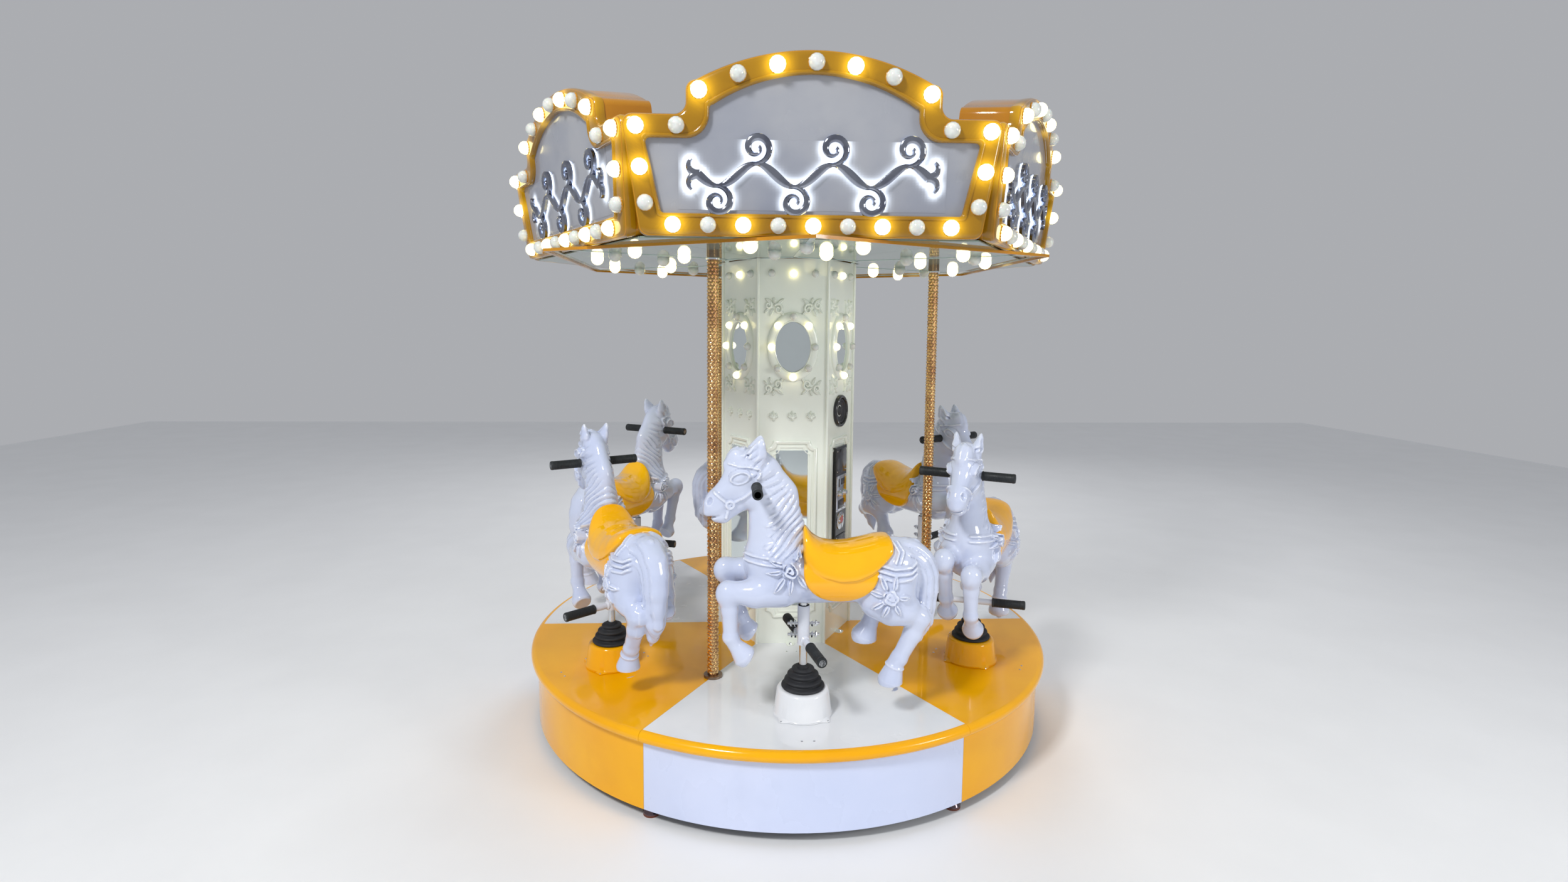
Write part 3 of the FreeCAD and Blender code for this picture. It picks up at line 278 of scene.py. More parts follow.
finish = {
    "horseWhite": gelCoat("horse_lacquer", (0.62, 0.67, 0.82), (0.53, 0.59, 0.78),
                          rough=(0.05, 0.16), wear=(0.84, 0.87, 0.95), coat=0.85),
    "saddleYellow": gelCoat("saddle_lacquer", (1.0, 0.52, 0.0), (0.94, 0.42, 0.0),
                            rough=(0.04, 0.10), coat=0.8),
    "deckWhite": gelCoat("deck_white_lacquer", (0.83, 0.84, 0.86), (0.72, 0.75, 0.78),
                         rough=(0.07, 0.3)),
    "deckYellow": gelCoat("deck_yellow_lacquer", (0.96, 0.47, 0.0), (0.86, 0.38, 0.0),
                          rough=(0.07, 0.26), coat=0.3),
    "skirtWhite": gelCoat("skirt_white_lacquer", (0.66, 0.72, 0.92), (0.60, 0.67, 0.88),
                          rough=(0.2, 0.4)),
    "columnWhite": gelCoat("column_lacquer", (0.88, 0.92, 0.84), (0.82, 0.87, 0.78),
                           rough=(0.1, 0.24)),
    "canopyYellow": gelCoat("canopy_lacquer", (0.56, 0.25, 0.010), (0.42, 0.17, 0.006),
                            rough=(0.12, 0.28)),
    # the border's glow round the lit lamps is painted light
    "borderPaintedGlow": litPlastic("border_lacquer_painted_glow", (0.36, 0.18, 0.003), (0.27, 0.13, 0.002),
                               (1.0, 0.58, 0.015), 1.2),
    "signWhite": gelCoat("sign_face_lacquer", (0.34, 0.35, 0.38), (0.22, 0.24, 0.30),
                         rough=(0.14, 0.32)),
    "roofWhite": gelCoat("roof_lacquer", (0.78, 0.79, 0.80), (0.66, 0.68, 0.70),
                         rough=(0.25, 0.45)),
    "frameSteel": gelCoat("frame_paint", (0.10, 0.11, 0.12), (0.06, 0.065, 0.07),
                          rough=(0.35, 0.6)),
    "motorGrey": gelCoat("motor_paint", (0.20, 0.22, 0.24), (0.14, 0.15, 0.17), rough=(0.35, 0.55)),
    "boxPlastic": gelCoat("box_plastic", (0.62, 0.62, 0.58), (0.5, 0.5, 0.47), rough=(0.4, 0.6)),
    "doorBlack": gelCoat("door_plastic", (0.018, 0.019, 0.021), (0.03, 0.03, 0.033),
                         rough=(0.16, 0.34)),
    "buttonRed": gelCoat("button_plastic", (0.70, 0.02, 0.015), (0.55, 0.012, 0.01),
                         rough=(0.1, 0.2)),
    "armWhite": gelCoat("arm_paint", (0.74, 0.76, 0.82), (0.64, 0.67, 0.74), rough=(0.2, 0.36)),
    "brightSteel": metal("turned_steel", (0.62, 0.64, 0.66), 0.22, (1, 1, 0.04)),
    "mastSteel": metal("mast_steel", (0.42, 0.43, 0.45), 0.4, (1, 1, 0.1)),
    "chrome": metal("chrome_plate", (0.80, 0.82, 0.85), 0.07, scratches=0.03),
    "darkChrome": metal("foot_chrome", (0.13, 0.11, 0.13), 0.14, scratches=0.05,
                        tint=(0.20, 0.12, 0.12)),
    "signChrome": metal("scroll_chrome", (0.34, 0.36, 0.42), 0.12, scratches=0.03,
                        tint=(0.18, 0.19, 0.25)),
    "gold": metal("embossed_brass", (1.0, 0.66, 0.28), 0.16, scratches=0.1,
                  tint=(0.60, 0.30, 0.12)),
    # the pole's tube is a darker copy of the bosses' gold: painted shade between the bosses
    "poleShadeBronze": metal("pole_bronze_painted_shade", (0.50, 0.26, 0.12), 0.34, scratches=0.2,
                    tint=(0.30, 0.15, 0.09)),
    "darkBrass": metal("socket_bronze", (0.30, 0.22, 0.16), 0.35),
    "bootRubber": rubber("boot_rubber", (0.020, 0.021, 0.024)),
    "gripRubber": rubber("grip_rubber", (0.016, 0.019, 0.021), 0.55),
    "wheelRubber": rubber("wheel_rubber", (0.05, 0.05, 0.052), 0.7),
    "padRubber": rubber("pad_rubber", (0.16, 0.05, 0.03), 0.7),
    "speakerCone": rubber("speaker_cone", (0.035, 0.036, 0.04), 0.5, 900.0),
    "ceilingMirror": mirrorGlass("ceiling_mirror", (0.30, 0.40, 0.34), 0.35, 0.1),
    "glass": mirrorGlass("column_mirror", (0.80, 0.87, 0.86)),
    "lampWarm": glowing("lamp_lit", (1.0, 0.86, 0.42), 3.4, (1.0, 0.9, 0.6)),
    "haloFace": litPlastic("halo_face", (0.34, 0.35, 0.38), (0.22, 0.24, 0.30),
                           (0.80, 0.88, 1.0), 1.5),
    "trimGreen": gelCoat("ceiling_trim", (0.52, 0.64, 0.62), (0.42, 0.54, 0.56), rough=(0.15, 0.3)),
    "lampHalo": glowing("scroll_light", (0.62, 0.76, 1.0), 5.0, (0.9, 0.95, 1.0)),
    "lampUnlit": frostedGlobe("lamp_unlit", (0.74, 0.77, 0.74), (0.56, 0.60, 0.57)),
}
nodeFinish = {
    "base_frame": "frameSteel", "levelling_feet": "darkChrome", "foot_pads": "padRubber",
    "skirt_white": "skirtWhite", "skirt_yellow": "deckYellow", "slewing_ring": "brightSteel",
    "gearmotor": "motorGrey", "drive_wheel": "wheelRubber", "turntable_frame": "frameSteel",
    "slip_ring": "boxPlastic", "guide_tubes": "brightSteel", "lift_units": "motorGrey",
    "deck_white": "deckWhite", "deck_yellow": "deckYellow", "deck_rim": "deckYellow",
    "mast": "mastSteel", "column_shell": "columnWhite", "control_box": "boxPlastic",
    "pole_sockets": "darkBrass", "mirror_glass": "glass", "canopy_casings": "canopyYellow",
    "ceiling_mirrors": "ceilingMirror", "canopy_roof": "roofWhite", "coin_door": "doorBlack",
    "coin_button": "buttonRed", "sign_faces": "signWhite",
}
for number in range(1, 7):
    nodeFinish["horse_%d_steelwork" % number] = "brightSteel"
for name, key in nodeFinish.items():
    nodes[name].data.materials.clear()
    nodes[name].data.materials.append(finish[key])
print("materials ready")


# shapes as (points, faces), joined into pieces

def skin(rows, loopAcross=True, loopRows=False, caps=False):
    # quads between neighbouring rows of points, which all have the same count
    count = len(rows[0])
    points = [Vector(point) for row in rows for point in row]
    faces = []
    for r in range(len(rows) - (0 if loopRows else 1)):
        for c in range(count - (0 if loopAcross else 1)):
            a, b = r * count, (r + 1) % len(rows) * count
            d = (c + 1) % count
            faces.append((a + c, a + d, b + d, b + c))
    if caps:
        faces.append(tuple(range(count))[::-1])
        faces.append(tuple(len(points) - count + i for i in range(count)))
    return points, faces


def moved(shape, matrix):
    return [matrix @ point for point in shape[0]], shape[1]


def turned(shape, degrees, lower=0.0):
    spin = Matrix.Rotation(math.radians(degrees), 4, "Z")
    return moved(shape, Matrix.Translation((0, 0, -lower)) @ spin)


def roundFaces(shapes, turns=cornerTurns):
    # copies of the front face's shapes on the other faces
    return [turned(shape, turn) for turn in turns for shape in shapes]


def makePiece(name, shapes, material, replaces=(), crease=35, body="turntable"):
    points, faces = [], []
    for shapePoints, shapeFaces in shapes:
        start = len(points)
        points += shapePoints
        faces += [tuple(start + i for i in face) for face in shapeFaces]
    mesh = bpy.data.meshes.new(name)
    mesh.from_pydata([tuple(point) for point in points], [], faces)
    work = bmesh.new()
    work.from_mesh(mesh)
    bmesh.ops.remove_doubles(work, verts=work.verts, dist=0.00001)
    bmesh.ops.recalc_face_normals(work, faces=work.faces)
    work.to_mesh(mesh)
    work.free()
    return finishPiece(name, mesh, material, replaces, crease, body)


def finishPiece(name, mesh, material, replaces=(), crease=35, body="turntable"):
    # a piece without a body is not attached to one
    work = bmesh.new()
    work.from_mesh(mesh)
    limit = math.radians(crease)
    for face in work.faces:
        face.smooth = True
    for edge in work.edges:
        edge.smooth = not (edge.is_manifold and edge.calc_face_angle() > limit)
    work.to_mesh(mesh)
    work.free()
    mesh.materials.clear()
    mesh.materials.append(finish[material])
    piece = bpy.data.objects.new(name, mesh)
    bpy.context.scene.collection.objects.link(piece)
    if body:
        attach(piece, body)
    if replaces:
        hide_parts(*replaces)
    return piece


def circleRow(radius, height, steps):
    return [(radius * math.cos(a), radius * math.sin(a), height)
            for a in (2 * math.pi * step / steps for step in range(steps))]


def lathe(profile, steps=48, closed=True):
    # (radius, height) outline turned about Z; a closed outline makes a ring
    return skin([circleRow(radius, height, steps) for radius, height in profile], True, closed)


def solidLathe(profile, steps=48):
    return skin([circleRow(radius, height, steps) for radius, height in profile], True, False, True)


def along(start, end):
    # matrix that lays a shape's own Z along the way from start to end
    way = Vector(end) - Vector(start)
    return Matrix.Translation(start) @ way.to_track_quat("Z", "Y").to_matrix().to_4x4()


def arcThrough(start, middle, end, steps):
    # points on the circle through three points, without the last
    (ax, ay), (bx, by), (cx, cy) = start, middle, end
    d = 2 * (ax * (by - cy) + bx * (cy - ay) + cx * (ay - by))
    a2, b2, c2 = ax * ax + ay * ay, bx * bx + by * by, cx * cx + cy * cy
    ux = (a2 * (by - cy) + b2 * (cy - ay) + c2 * (ay - by)) / d
    uy = (a2 * (cx - bx) + b2 * (ax - cx) + c2 * (bx - ax)) / d
    radius = math.hypot(ax - ux, ay - uy)
    first = math.atan2(ay - uy, ax - ux)
    half = math.atan2(by - uy, bx - ux) - first
    half = (half + math.pi) % (2 * math.pi) - math.pi
    whole = math.atan2(cy - uy, cx - ux) - first
    whole = (whole + math.pi) % (2 * math.pi) - math.pi
    if whole * half < 0:
        whole += math.copysign(2 * math.pi, half)
    return [(ux + radius * math.cos(first + whole * i / steps),
             uy + radius * math.sin(first + whole * i / steps)) for i in range(steps)]


def straight(start, end, steps):
    return [(start[0] + (end[0] - start[0]) * i / steps, start[1] + (end[1] - start[1]) * i / steps)
            for i in range(steps)]


# geometry nodes: one shape repeated at every point of a small mesh

def scatter(name, places, material, sizes, shape):
    # places are (point, outward direction); sizes are the tree's own named inputs
    cloud = bpy.data.meshes.new(name)
    cloud.from_pydata([tuple(point) for point, _ in places], [], [])
    facing = cloud.attributes.new("facing", "FLOAT_VECTOR", "POINT")
    facing.data.foreach_set("vector", [c for _, way in places for c in way])
    holder = bpy.data.objects.new(name, cloud)
    bpy.context.scene.collection.objects.link(holder)
    tree = bpy.data.node_groups.new(name, "GeometryNodeTree")
    tree.interface.new_socket("Geometry", in_out="INPUT", socket_type="NodeSocketGeometry")
    sockets = {}
    for label, size in sizes.items():
        kind = "NodeSocketInt" if isinstance(size, int) else "NodeSocketFloat"
        sockets[label] = tree.interface.new_socket(label, in_out="INPUT", socket_type=kind)
    tree.interface.new_socket("Geometry", in_out="OUTPUT", socket_type="NodeSocketGeometry")
    source = tree.nodes.new("NodeGroupInput")
    target = tree.nodes.new("NodeGroupOutput")
    pattern = shape(tree, source.outputs)
    way = addNode(tree, "GeometryNodeInputNamedAttribute", {"Name": "facing"}, data_type="FLOAT_VECTOR")
    turn = addNode(tree, "FunctionNodeAlignRotationToVector", {"Vector": way.outputs["Attribute"]},
                   axis="Z")
    points = addNode(tree, "GeometryNodeMeshToPoints", {"Mesh": source.outputs["Geometry"]})
    copies = addNode(tree, "GeometryNodeInstanceOnPoints", {
        "Points": points.outputs[0], "Instance": pattern, "Rotation": turn.outputs["Rotation"]})
    real = addNode(tree, "GeometryNodeRealizeInstances", {"Geometry": copies.outputs[0]})
    coat = addNode(tree, "GeometryNodeSetMaterial", {"Geometry": real.outputs[0]})
    coat.inputs["Material"].default_value = finish[material]
    tree.links.new(coat.outputs[0], target.inputs[0])
    modifier = holder.modifiers.new("repeat", "NODES")
    modifier.node_group = tree
    for label, size in sizes.items():
        modifier[sockets[label].identifier] = size
    graph = bpy.context.evaluated_depsgraph_get()
    mesh = bpy.data.meshes.new_from_object(holder.evaluated_get(graph))
    bpy.data.objects.remove(holder)
    if "facing" in mesh.attributes:
        mesh.attributes.remove(mesh.attributes["facing"])
    return mesh


def shiftUp(tree, geometry, height):
    rise = addNode(tree, "ShaderNodeCombineXYZ", {"Z": height})
    return addNode(tree, "GeometryNodeTransform", {
        "Geometry": geometry, "Translation": rise.outputs[0]}).outputs[0]


def globeShape(tree, size):
    ball = addNode(tree, "GeometryNodeMeshUVSphere", {
        "Radius": size["Radius"], "Segments": size["Segments"], "Rings": size["Rings"]})
    return shiftUp(tree, ball.outputs["Mesh"], size["Seat"])


def collarShape(tree, size):
    ring = addNode(tree, "GeometryNodeMeshCone", {
        "Vertices": size["Segments"], "Radius Bottom": size["Radius"], "Radius Top": size["Top"],
        "Depth": size["Height"]})
    return ring.outputs["Mesh"]


def screwShape(tree, size):
    # low domed head with a hexagon socket
    head = addNode(tree, "GeometryNodeMeshCone", {
        "Vertices": 14, "Radius Bottom": size["Radius"], "Radius Top": size["Rim"],
        "Depth": size["Height"]}).outputs["Mesh"]
    top = addNode(tree, "GeometryNodeMeshCone", {
        "Vertices": 6, "Radius Bottom": size["Socket"], "Radius Top": size["Socket"],
        "Depth": size["Height"]}).outputs["Mesh"]
    raised = shiftUp(tree, top, size["Proud"])
    return joined(tree, head, raised)


def joined(tree, *parts):
    group = tree.nodes.new("GeometryNodeJoinGeometry")
    for part in parts:
        tree.links.new(part, group.inputs[0])
    return group.outputs[0]


def screws(name, places, radius, height=0.0022, body="turntable"):
    mesh = scatter(name, places, "chrome", {
        "Radius": radius, "Rim": radius * 0.62, "Socket": radius * 0.36, "Height": height,
        "Proud": height * 0.35}, screwShape)
    return finishPiece(name, mesh, "chrome", (), 50, body)


def aroundAxis(point, turns):
    return [Matrix.Rotation(math.radians(turn), 3, "Z") @ Vector(point) for turn in turns]


def facePlaces(points, outward, turns=cornerTurns):
    # the same points on several faces, as (point, direction)
    places = []
    for turn in turns:
        spin = Matrix.Rotation(math.radians(turn), 3, "Z")
        places += [(spin @ Vector(point), spin @ Vector(outward)) for point in points]
    return places


# canopy signs: across, out and up are measured from the middle of a sign's lower front edge

signSettings = {
    "lean": math.radians(6),
    "bottomHalf": 0.482,
    "shoulderHalf": 0.520,
    "shoulder": 0.317,
    "notchHalf": 0.347,
    "archEdge": 0.405,
    "crown": 0.486,
    "border": 0.057,
    "recess": 0.012,
    "corner": 0.026,
    "fillet": 0.034,
    "proud": 0.0035,        # border lacquer over the casing
    "swell": 0.0012,
    "bulbRadius": 0.023,
    "bulbSeat": 0.008,
    "bottomPitch": 0.097,
    "glowReach": 0.031,
}
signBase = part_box("canopy_casings")[0].z
signFace = -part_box("canopy_casings")[0].y - signSettings["crown"] * math.sin(signSettings["lean"])
signAhead = Vector((0, -math.cos(signSettings["lean"]), -math.sin(signSettings["lean"])))
signRise = Vector((0, -math.sin(signSettings["lean"]), math.cos(signSettings["lean"])))


def onSign(across, out, up):
    return Vector((across, -signFace, signBase)) + signAhead * out + signRise * up


def signOutline(inset, fine=1):
    # closed outline of the sign moved in by the inset, always with the same number of points
    s = signSettings
    corner, fillet = s["corner"] - inset * 0.25, s["fillet"] + inset * 0.5
    near = 1 - math.sqrt(0.5)
    low, wide, notch = s["bottomHalf"] - inset, s["shoulderHalf"] - inset, s["notchHalf"] - inset
    shoulder, edge, crown = s["shoulder"] - inset, s["archEdge"] - inset, s["crown"] - inset
    half = arcThrough((low - corner, inset), (low - corner * near, inset + corner * near),
                      (low, inset + corner), 5)
    half += straight((low, inset + corner), (wide, shoulder - corner), 24 * fine)
    half += arcThrough((wide, shoulder - corner), (wide - corner * near, shoulder - corner * near),
                       (wide - corner, shoulder), 5)
    half += straight((wide - corner, shoulder), (notch + fillet, shoulder), 9 * fine)
    half += arcThrough((notch + fillet, shoulder), (notch + fillet * near, shoulder + fillet * near),
                       (notch, shoulder + fillet), 7)
    half += straight((notch, shoulder + fillet), (notch, edge - corner), 3 * fine)
    half += arcThrough((notch, edge - corner), (notch - corner * near, edge - corner * near),
                       (notch - corner, edge), 5)
    arch = arcThrough((notch - corner, edge), (0, crown), (-(notch - corner), edge), 56 * fine)
    mirrored = [(-across, up) for across, up in reversed(half)]
    bottom = straight((-(low - corner), inset), (low - corner, inset), 72 * fine)
    return half + arch + [(-(notch - corner), edge)] + mirrored[:-1] + bottom


def signBulbs():
    # (across, up, lit) of the lamps on one sign's border
    s = signSettings
    middle = s["border"] / 2
    lamps = [(number * s["bottomPitch"], middle, number % 2 == 0) for number in range(-4, 5)]
    for side in (-1, 1):
        lamps.append((side * (s["bottomHalf"] - middle + 0.009), 0.086, False))
        lamps.append((side * (s["bottomHalf"] - middle + 0.022), 0.180, True))
        lamps.append((side * (s["shoulderHalf"] - middle - 0.007),
                      s["shoulder"] - middle - 0.002, True))
        lamps.append((side * (s["notchHalf"] + middle), s["shoulder"] - middle, False))
        for step in (1, 2, 3):
            drop = (s["crown"] - s["archEdge"]) * (step / 3.1) ** 2
            lamps.append((side * (s["notchHalf"] - middle - 0.004) * step / 3,
                          s["crown"] - middle - 0.002 - drop, step % 2 == 1))
    lamps.append((0, s["crown"] - middle - 0.002, False))
    return lamps


def addGlow(piece, lamps, reach):
    # "glow" runs from 0, far from any lit lamp, to 1
    points = np.zeros(len(piece.data.vertices) * 3)
    piece.data.vertices.foreach_get("co", points)
    points = points.reshape(-1, 3)
    total = np.zeros(len(points))
    for lamp in lamps:
        gap = ((points - np.array(lamp)) ** 2).sum(1)
        total += np.exp(-gap / reach ** 2)
    values = piece.data.attributes.new("glow", "FLOAT", "POINT")
    values.data.foreach_set("value", np.clip(total, 0, 1))


def makeBorders():
    s = signSettings
    proud, border, recess = s["proud"], s["border"], s["recess"]
    # (inset, out) points: outer wall and round edge, lit band, bead, wall down to the face
    profile = [(-0.002, -0.030), (-0.0035, -0.010), (-0.001, -0.003), (0.003, 0.0015), (0.009, proud)]
    profile += [(border * share, proud + s["swell"] * math.sin(math.pi * share))
                for share in (0.3, 0.5, 0.7)]
    bead = border - 0.009
    profile += [(bead + 0.0055 - 0.0055 * math.cos(a), proud + 0.0050 * math.sin(a))
                for a in (math.pi * i / 6 for i in range(7))]
    profile += [(border + 0.003, 0.0), (border + 0.003, -recess + 0.0008),
                (border - 0.006, -recess - 0.001), (border - 0.006, -0.004), (0.006, -0.004),
                (0.002, -0.030)]
    rows = [[onSign(across, out, up) for across, up in signOutline(inset)] for inset, out in profile]
    piece = makePiece("sign_borders", roundFaces([skin(rows, True, True)]), "borderPaintedGlow",
                      crease=50)
    # painted light: the border's emission is painted by its distance to the lit lamps
    lit = [onSign(across, proud, up) for across, up, on in signBulbs() if on]
    addGlow(piece, [spot for lamp in lit for spot in aroundAxis(lamp, cornerTurns)], s["glowReach"])


makeBorders()
print("sign borders ready")


def bevelled(name, source, material, width):
    # softened copy of a CAD node, which it replaces
    mesh = nodes[source].data.copy()
    work = bmesh.new()
    work.from_mesh(mesh)
    bmesh.ops.remove_doubles(work, verts=work.verts, dist=0.00002)
    bmesh.ops.dissolve_limit(work, angle_limit=math.radians(2), verts=work.verts, edges=work.edges)
    work.to_mesh(mesh)
    work.free()
    mesh.materials.clear()
    holder = bpy.data.objects.new(name, mesh)
    bpy.context.scene.collection.objects.link(holder)
    rounding = holder.modifiers.new("edges", "BEVEL")
    rounding.width = width
    rounding.segments = 3
    rounding.limit_method = "ANGLE"
    rounding.angle_limit = math.radians(30)
    graph = bpy.context.evaluated_depsgraph_get()
    done = bpy.data.meshes.new_from_object(holder.evaluated_get(graph))
    bpy.data.objects.remove(holder)
    return finishPiece(name, done, material, (source,), 50)


bevelled("canopy_shells", "canopy_casings", "canopyYellow", 0.007)
print("canopy shells ready")

# scrollwork of polished metal in place of any lettering

scrollSettings = {
    "middle": 0.163,         # height of the pattern's centre line on the sign
    "half": 0.318,           # reach to each side
    "wave": 0.030,
    "waves": 3.0,
    "curl": 0.041,           # radius of each curl
    "turns": 1.35,
    "taper": 0.80,           # share of the curl's radius that is lost towards its middle
    "steps": 90,
    "bold": 0.0125,          # half width of the strokes
    "thin": 0.0045,
    "tip": (0.030, 0.024),
    "haloReach": 0.017,
    "haloMargin": (0.055, 0.094),
    "haloCells": (84, 26),
    "haloOut": (0.0012, 0.0006),
    "lightSpill": 0.0022,    # how far the light shows beyond each stroke
    "back": -0.0095,         # from the sign's front plane to the strokes' backs
    "front": 0.0085,
}


def ribbon(path, widths, back, front):
    # stroke with a raised middle, along (across, up) points on the front sign
    shoulder = front - min(0.003, (front - back) * 0.6)
    rows = []
    for i, (across, up) in enumerate(path):
        before, after = path[max(i - 1, 0)], path[min(i + 1, len(path) - 1)]
        way = Vector((after[0] - before[0], after[1] - before[1])).normalized()
        side = Vector((-way.y, way.x)) * widths[i]
        row = []
        for share, out in ((1, back), (1, shoulder), (0.62, front), (0, front + 0.0012),
                           (-0.62, front), (-1, shoulder), (-1, back)):
            row.append(onSign(across + side.x * share, out, up + side.y * share))
        rows.append(row)
    return skin(rows, True, False, True)


def scrollPaths():
    # (path, half widths) of a wave, six curls that grow out of it and a forked tip at each end
    s = scrollSettings
    middle, steps, thin = s["middle"], s["steps"], s["thin"]

    def phase(across):
        return across / s["half"] * s["waves"] * math.pi

    spots = [-s["half"] + 2 * s["half"] * i / steps for i in range(steps + 1)]
    wave = [(across, middle + s["wave"] * math.sin(phase(across))) for across in spots]
    paths = [(wave, [thin + (s["bold"] - thin) * abs(math.cos(phase(across))) for across in spots])]
    for number in range(6):
        across = s["half"] * (number - 2.5) / s["waves"]
        above = 1 if number % 2 else -1
        centre = middle + s["wave"] * math.sin(phase(across)) + above * s["curl"]
        curl, widths = [], []
        for i in range(41):
            share = i / 40
            radius = s["curl"] * (1 - s["taper"] * share)
            angle = -above * math.pi / 2 + above * share * s["turns"] * 2 * math.pi
            curl.append((across + radius * math.cos(angle), centre + radius * math.sin(angle)))
            swell = math.sin(math.pi * min(share * 1.25 + 0.05, 1))
            widths.append(thin + (s["bold"] * 0.8 - thin) * swell)
        paths.append((curl, widths))
    reach, rise = s["tip"]
    for side in (-1, 1):
        for above in (-1, 1):
            tip = [(side * (s["half"] - 0.004 + reach * math.sin(a)),
                    middle + above * rise * (1 - math.cos(a)))
                   for a in (math.pi * 0.75 * i / 16 for i in range(17))]
            paths.append((tip, [s["bold"] * (1 - 0.7 * i / 16) for i in range(17)]))
    return paths


def makeHalo(paths):
    # the light that the scrollwork throws on the face behind it: a thin sheet lit by distance
    s = scrollSettings
    wide, tall = s["haloMargin"]
    wide, low, high = s["half"] + wide, s["middle"] - tall, s["middle"] + tall
    across, up = s["haloCells"]
    front, behind = [s["back"] + out for out in s["haloOut"]]
    rows = []
    for j in range(up + 1):
        height = low + (high - low) * j / up
        steps = [wide * (2 * i / across - 1) for i in range(across + 1)]
        rows.append([onSign(x, front, height) for x in steps]
                    + [onSign(x, behind, height) for x in reversed(steps)])
    sheets = roundFaces([skin(rows, True, False, True)])
    lights = [onSign(a, s["back"], u) for path, _ in paths for a, u in path[::3]]
    every = [spot for spots, _ in roundFaces([(lights, [])]) for spot in spots]
    piece = makePiece("scroll_halos", sheets, "haloFace", (), 40)
    addGlow(piece, every, s["haloReach"])


def makeScrolls():
    s = scrollSettings
    paths = scrollPaths()
    strokes = [ribbon(path, widths, s["back"] + 0.004, s["front"]) for path, widths in paths]
    makePiece("sign_scrollwork", roundFaces(strokes), "signChrome",
              ("sign_scrolls",), 30)
    lights = [ribbon(path, [w + s["lightSpill"] for w in widths], s["back"] - 0.0015, s["back"] + 0.001)
              for path, widths in paths]
    makePiece("scroll_backlights", roundFaces(lights), "lampHalo", (), 30)
    makeHalo(paths)


makeScrolls()
print("scrollwork ready")

# lamps

columnSettings = {
    "ovalCentre": 1.127,
    "ovalOuter": (0.095, 0.128),
    "ovalInner": (0.065, 0.093),
    "ovalDepth": 0.012,
    "topLamps": 1.394,
    "lampRadius": 0.014,
    "lampSeat": 0.005,
    "topPitch": 0.080,
    "ovalLit": (0, 1, 0, 1, 1, 0, 1, 0),
    "frameHalf": 0.095,
    "frameBottom": 0.100,
    "frameTop": 0.780,
    "frameNotch": 0.026,
    "beadRadius": 0.006,
    "sprigAcross": 0.070,
    "sprigRise": 0.144,
    "palmettes": 0.867,
    "palmettePitch": 0.070,
    "reliefDepth": 1.9,
    "sprigGrow": (1.25, 1.5),
    "palmetteGrow": 1.22,
    "ceilingRows": ((0.500, 2), (0.720, 3)),
    "ceilingPitch": 0.170,
    # (share of the way in, out) points of the oval ring; (inset, out) points of the two frames
    "ovalProfile": ((0, -0.002), (0, 0.004), (0.10, 0.0085), (0.24, 0.012), (0.5, 0.013), (0.74, 0.012),
                    (0.86, 0.0105), (0.92, 0.0125), (1.0, 0.0115), (1.03, 0.006), (1.03, -0.002)),
    "frameProfile": ((0, -0.002), (0, 0.003), (0.0025, 0.0068), (0.006, 0.008), (0.009, 0.0062),
                     (0.0115, 0.0062), (0.014, 0.003), (0.014, -0.002)),
    "rimProfile": ((0.022, -0.002), (0.022, 0.0022), (0.025, 0.0034), (0.028, 0.0022), (0.028, -0.002)),
    "tab": ((-0.015, 0.0), (-0.015, 0.020), (-0.009, 0.028), (0.009, 0.028), (0.015, 0.020),
            (0.015, 0.0)),
    "tabThick": 0.003,
    "tabBolt": 0.018,
}


def makeLamps():
    s, c = signSettings, columnSettings
    big = {True: [], False: []}
    small = {True: [], False: []}
    for across, up, lit in signBulbs():
        big[lit] += facePlaces([onSign(across, s["proud"], up)], signAhead)
    for radius, count in c["ceilingRows"]:
        for number in range(count):
            place = ((number - (count - 1) / 2) * c["ceilingPitch"], -radius, ceilingLow)
            big[(number + count) % 2 == 1] += facePlaces([place], (0, 0, -1))
    for across in (-c["topPitch"], 0, c["topPitch"]):
        small[across == 0] += facePlaces([(across, -columnFace, deckTop + c["topLamps"])], (0, -1, 0))
    wide, high = [(a + b) / 2 for a, b in zip(c["ovalOuter"], c["ovalInner"])]
    for eighth, lit in enumerate(c["ovalLit"]):
        turn = math.radians(45 * eighth)
        place = (wide * math.cos(turn), -columnFace - c["ovalDepth"],
                 deckTop + c["ovalCentre"] + high * math.sin(turn))
        small[bool(lit)] += facePlaces([place], (0, -1, 0))
    for lit, key in ((True, "lit"), (False, "unlit")):
        material = "lampWarm" if lit else "lampUnlit"
        for name, places, radius, seat, segments, replaced in (
                ("sign_lamps_", big, s["bulbRadius"], s["bulbSeat"], 14, ("bulbs_" + key,)),
                ("column_lamps_", small, c["lampRadius"], c["lampSeat"], 12, ())):
            sizes = {"Radius": radius, "Seat": seat, "Segments": segments, "Rings": 7}
            mesh = scatter(name + key, places[lit], material, sizes, globeShape)
            finishPiece(name + key, mesh, material, replaced, 70)
    collars = {"Radius": s["bulbRadius"] * 1.04, "Top": s["bulbRadius"] * 0.96,
               "Height": 0.004, "Segments": 16}
    every = []
    for across, up, _ in signBulbs():
        every += facePlaces([onSign(across, s["proud"], up)], signAhead)
    mesh = scatter("lamp_collars", every, "canopyYellow", collars, collarShape)
    finishPiece("lamp_collars", mesh, "canopyYellow", (), 50)


makeLamps()


ceilingSettings = {
    "edge": 0.826,
    "inner": 0.235,
    "stripWidth": 0.016,
    "stripDepth": 0.0015,
    "lipDepth": 0.009,
    "lipInner": 0.001,
    "lipOuter": 0.012,
}


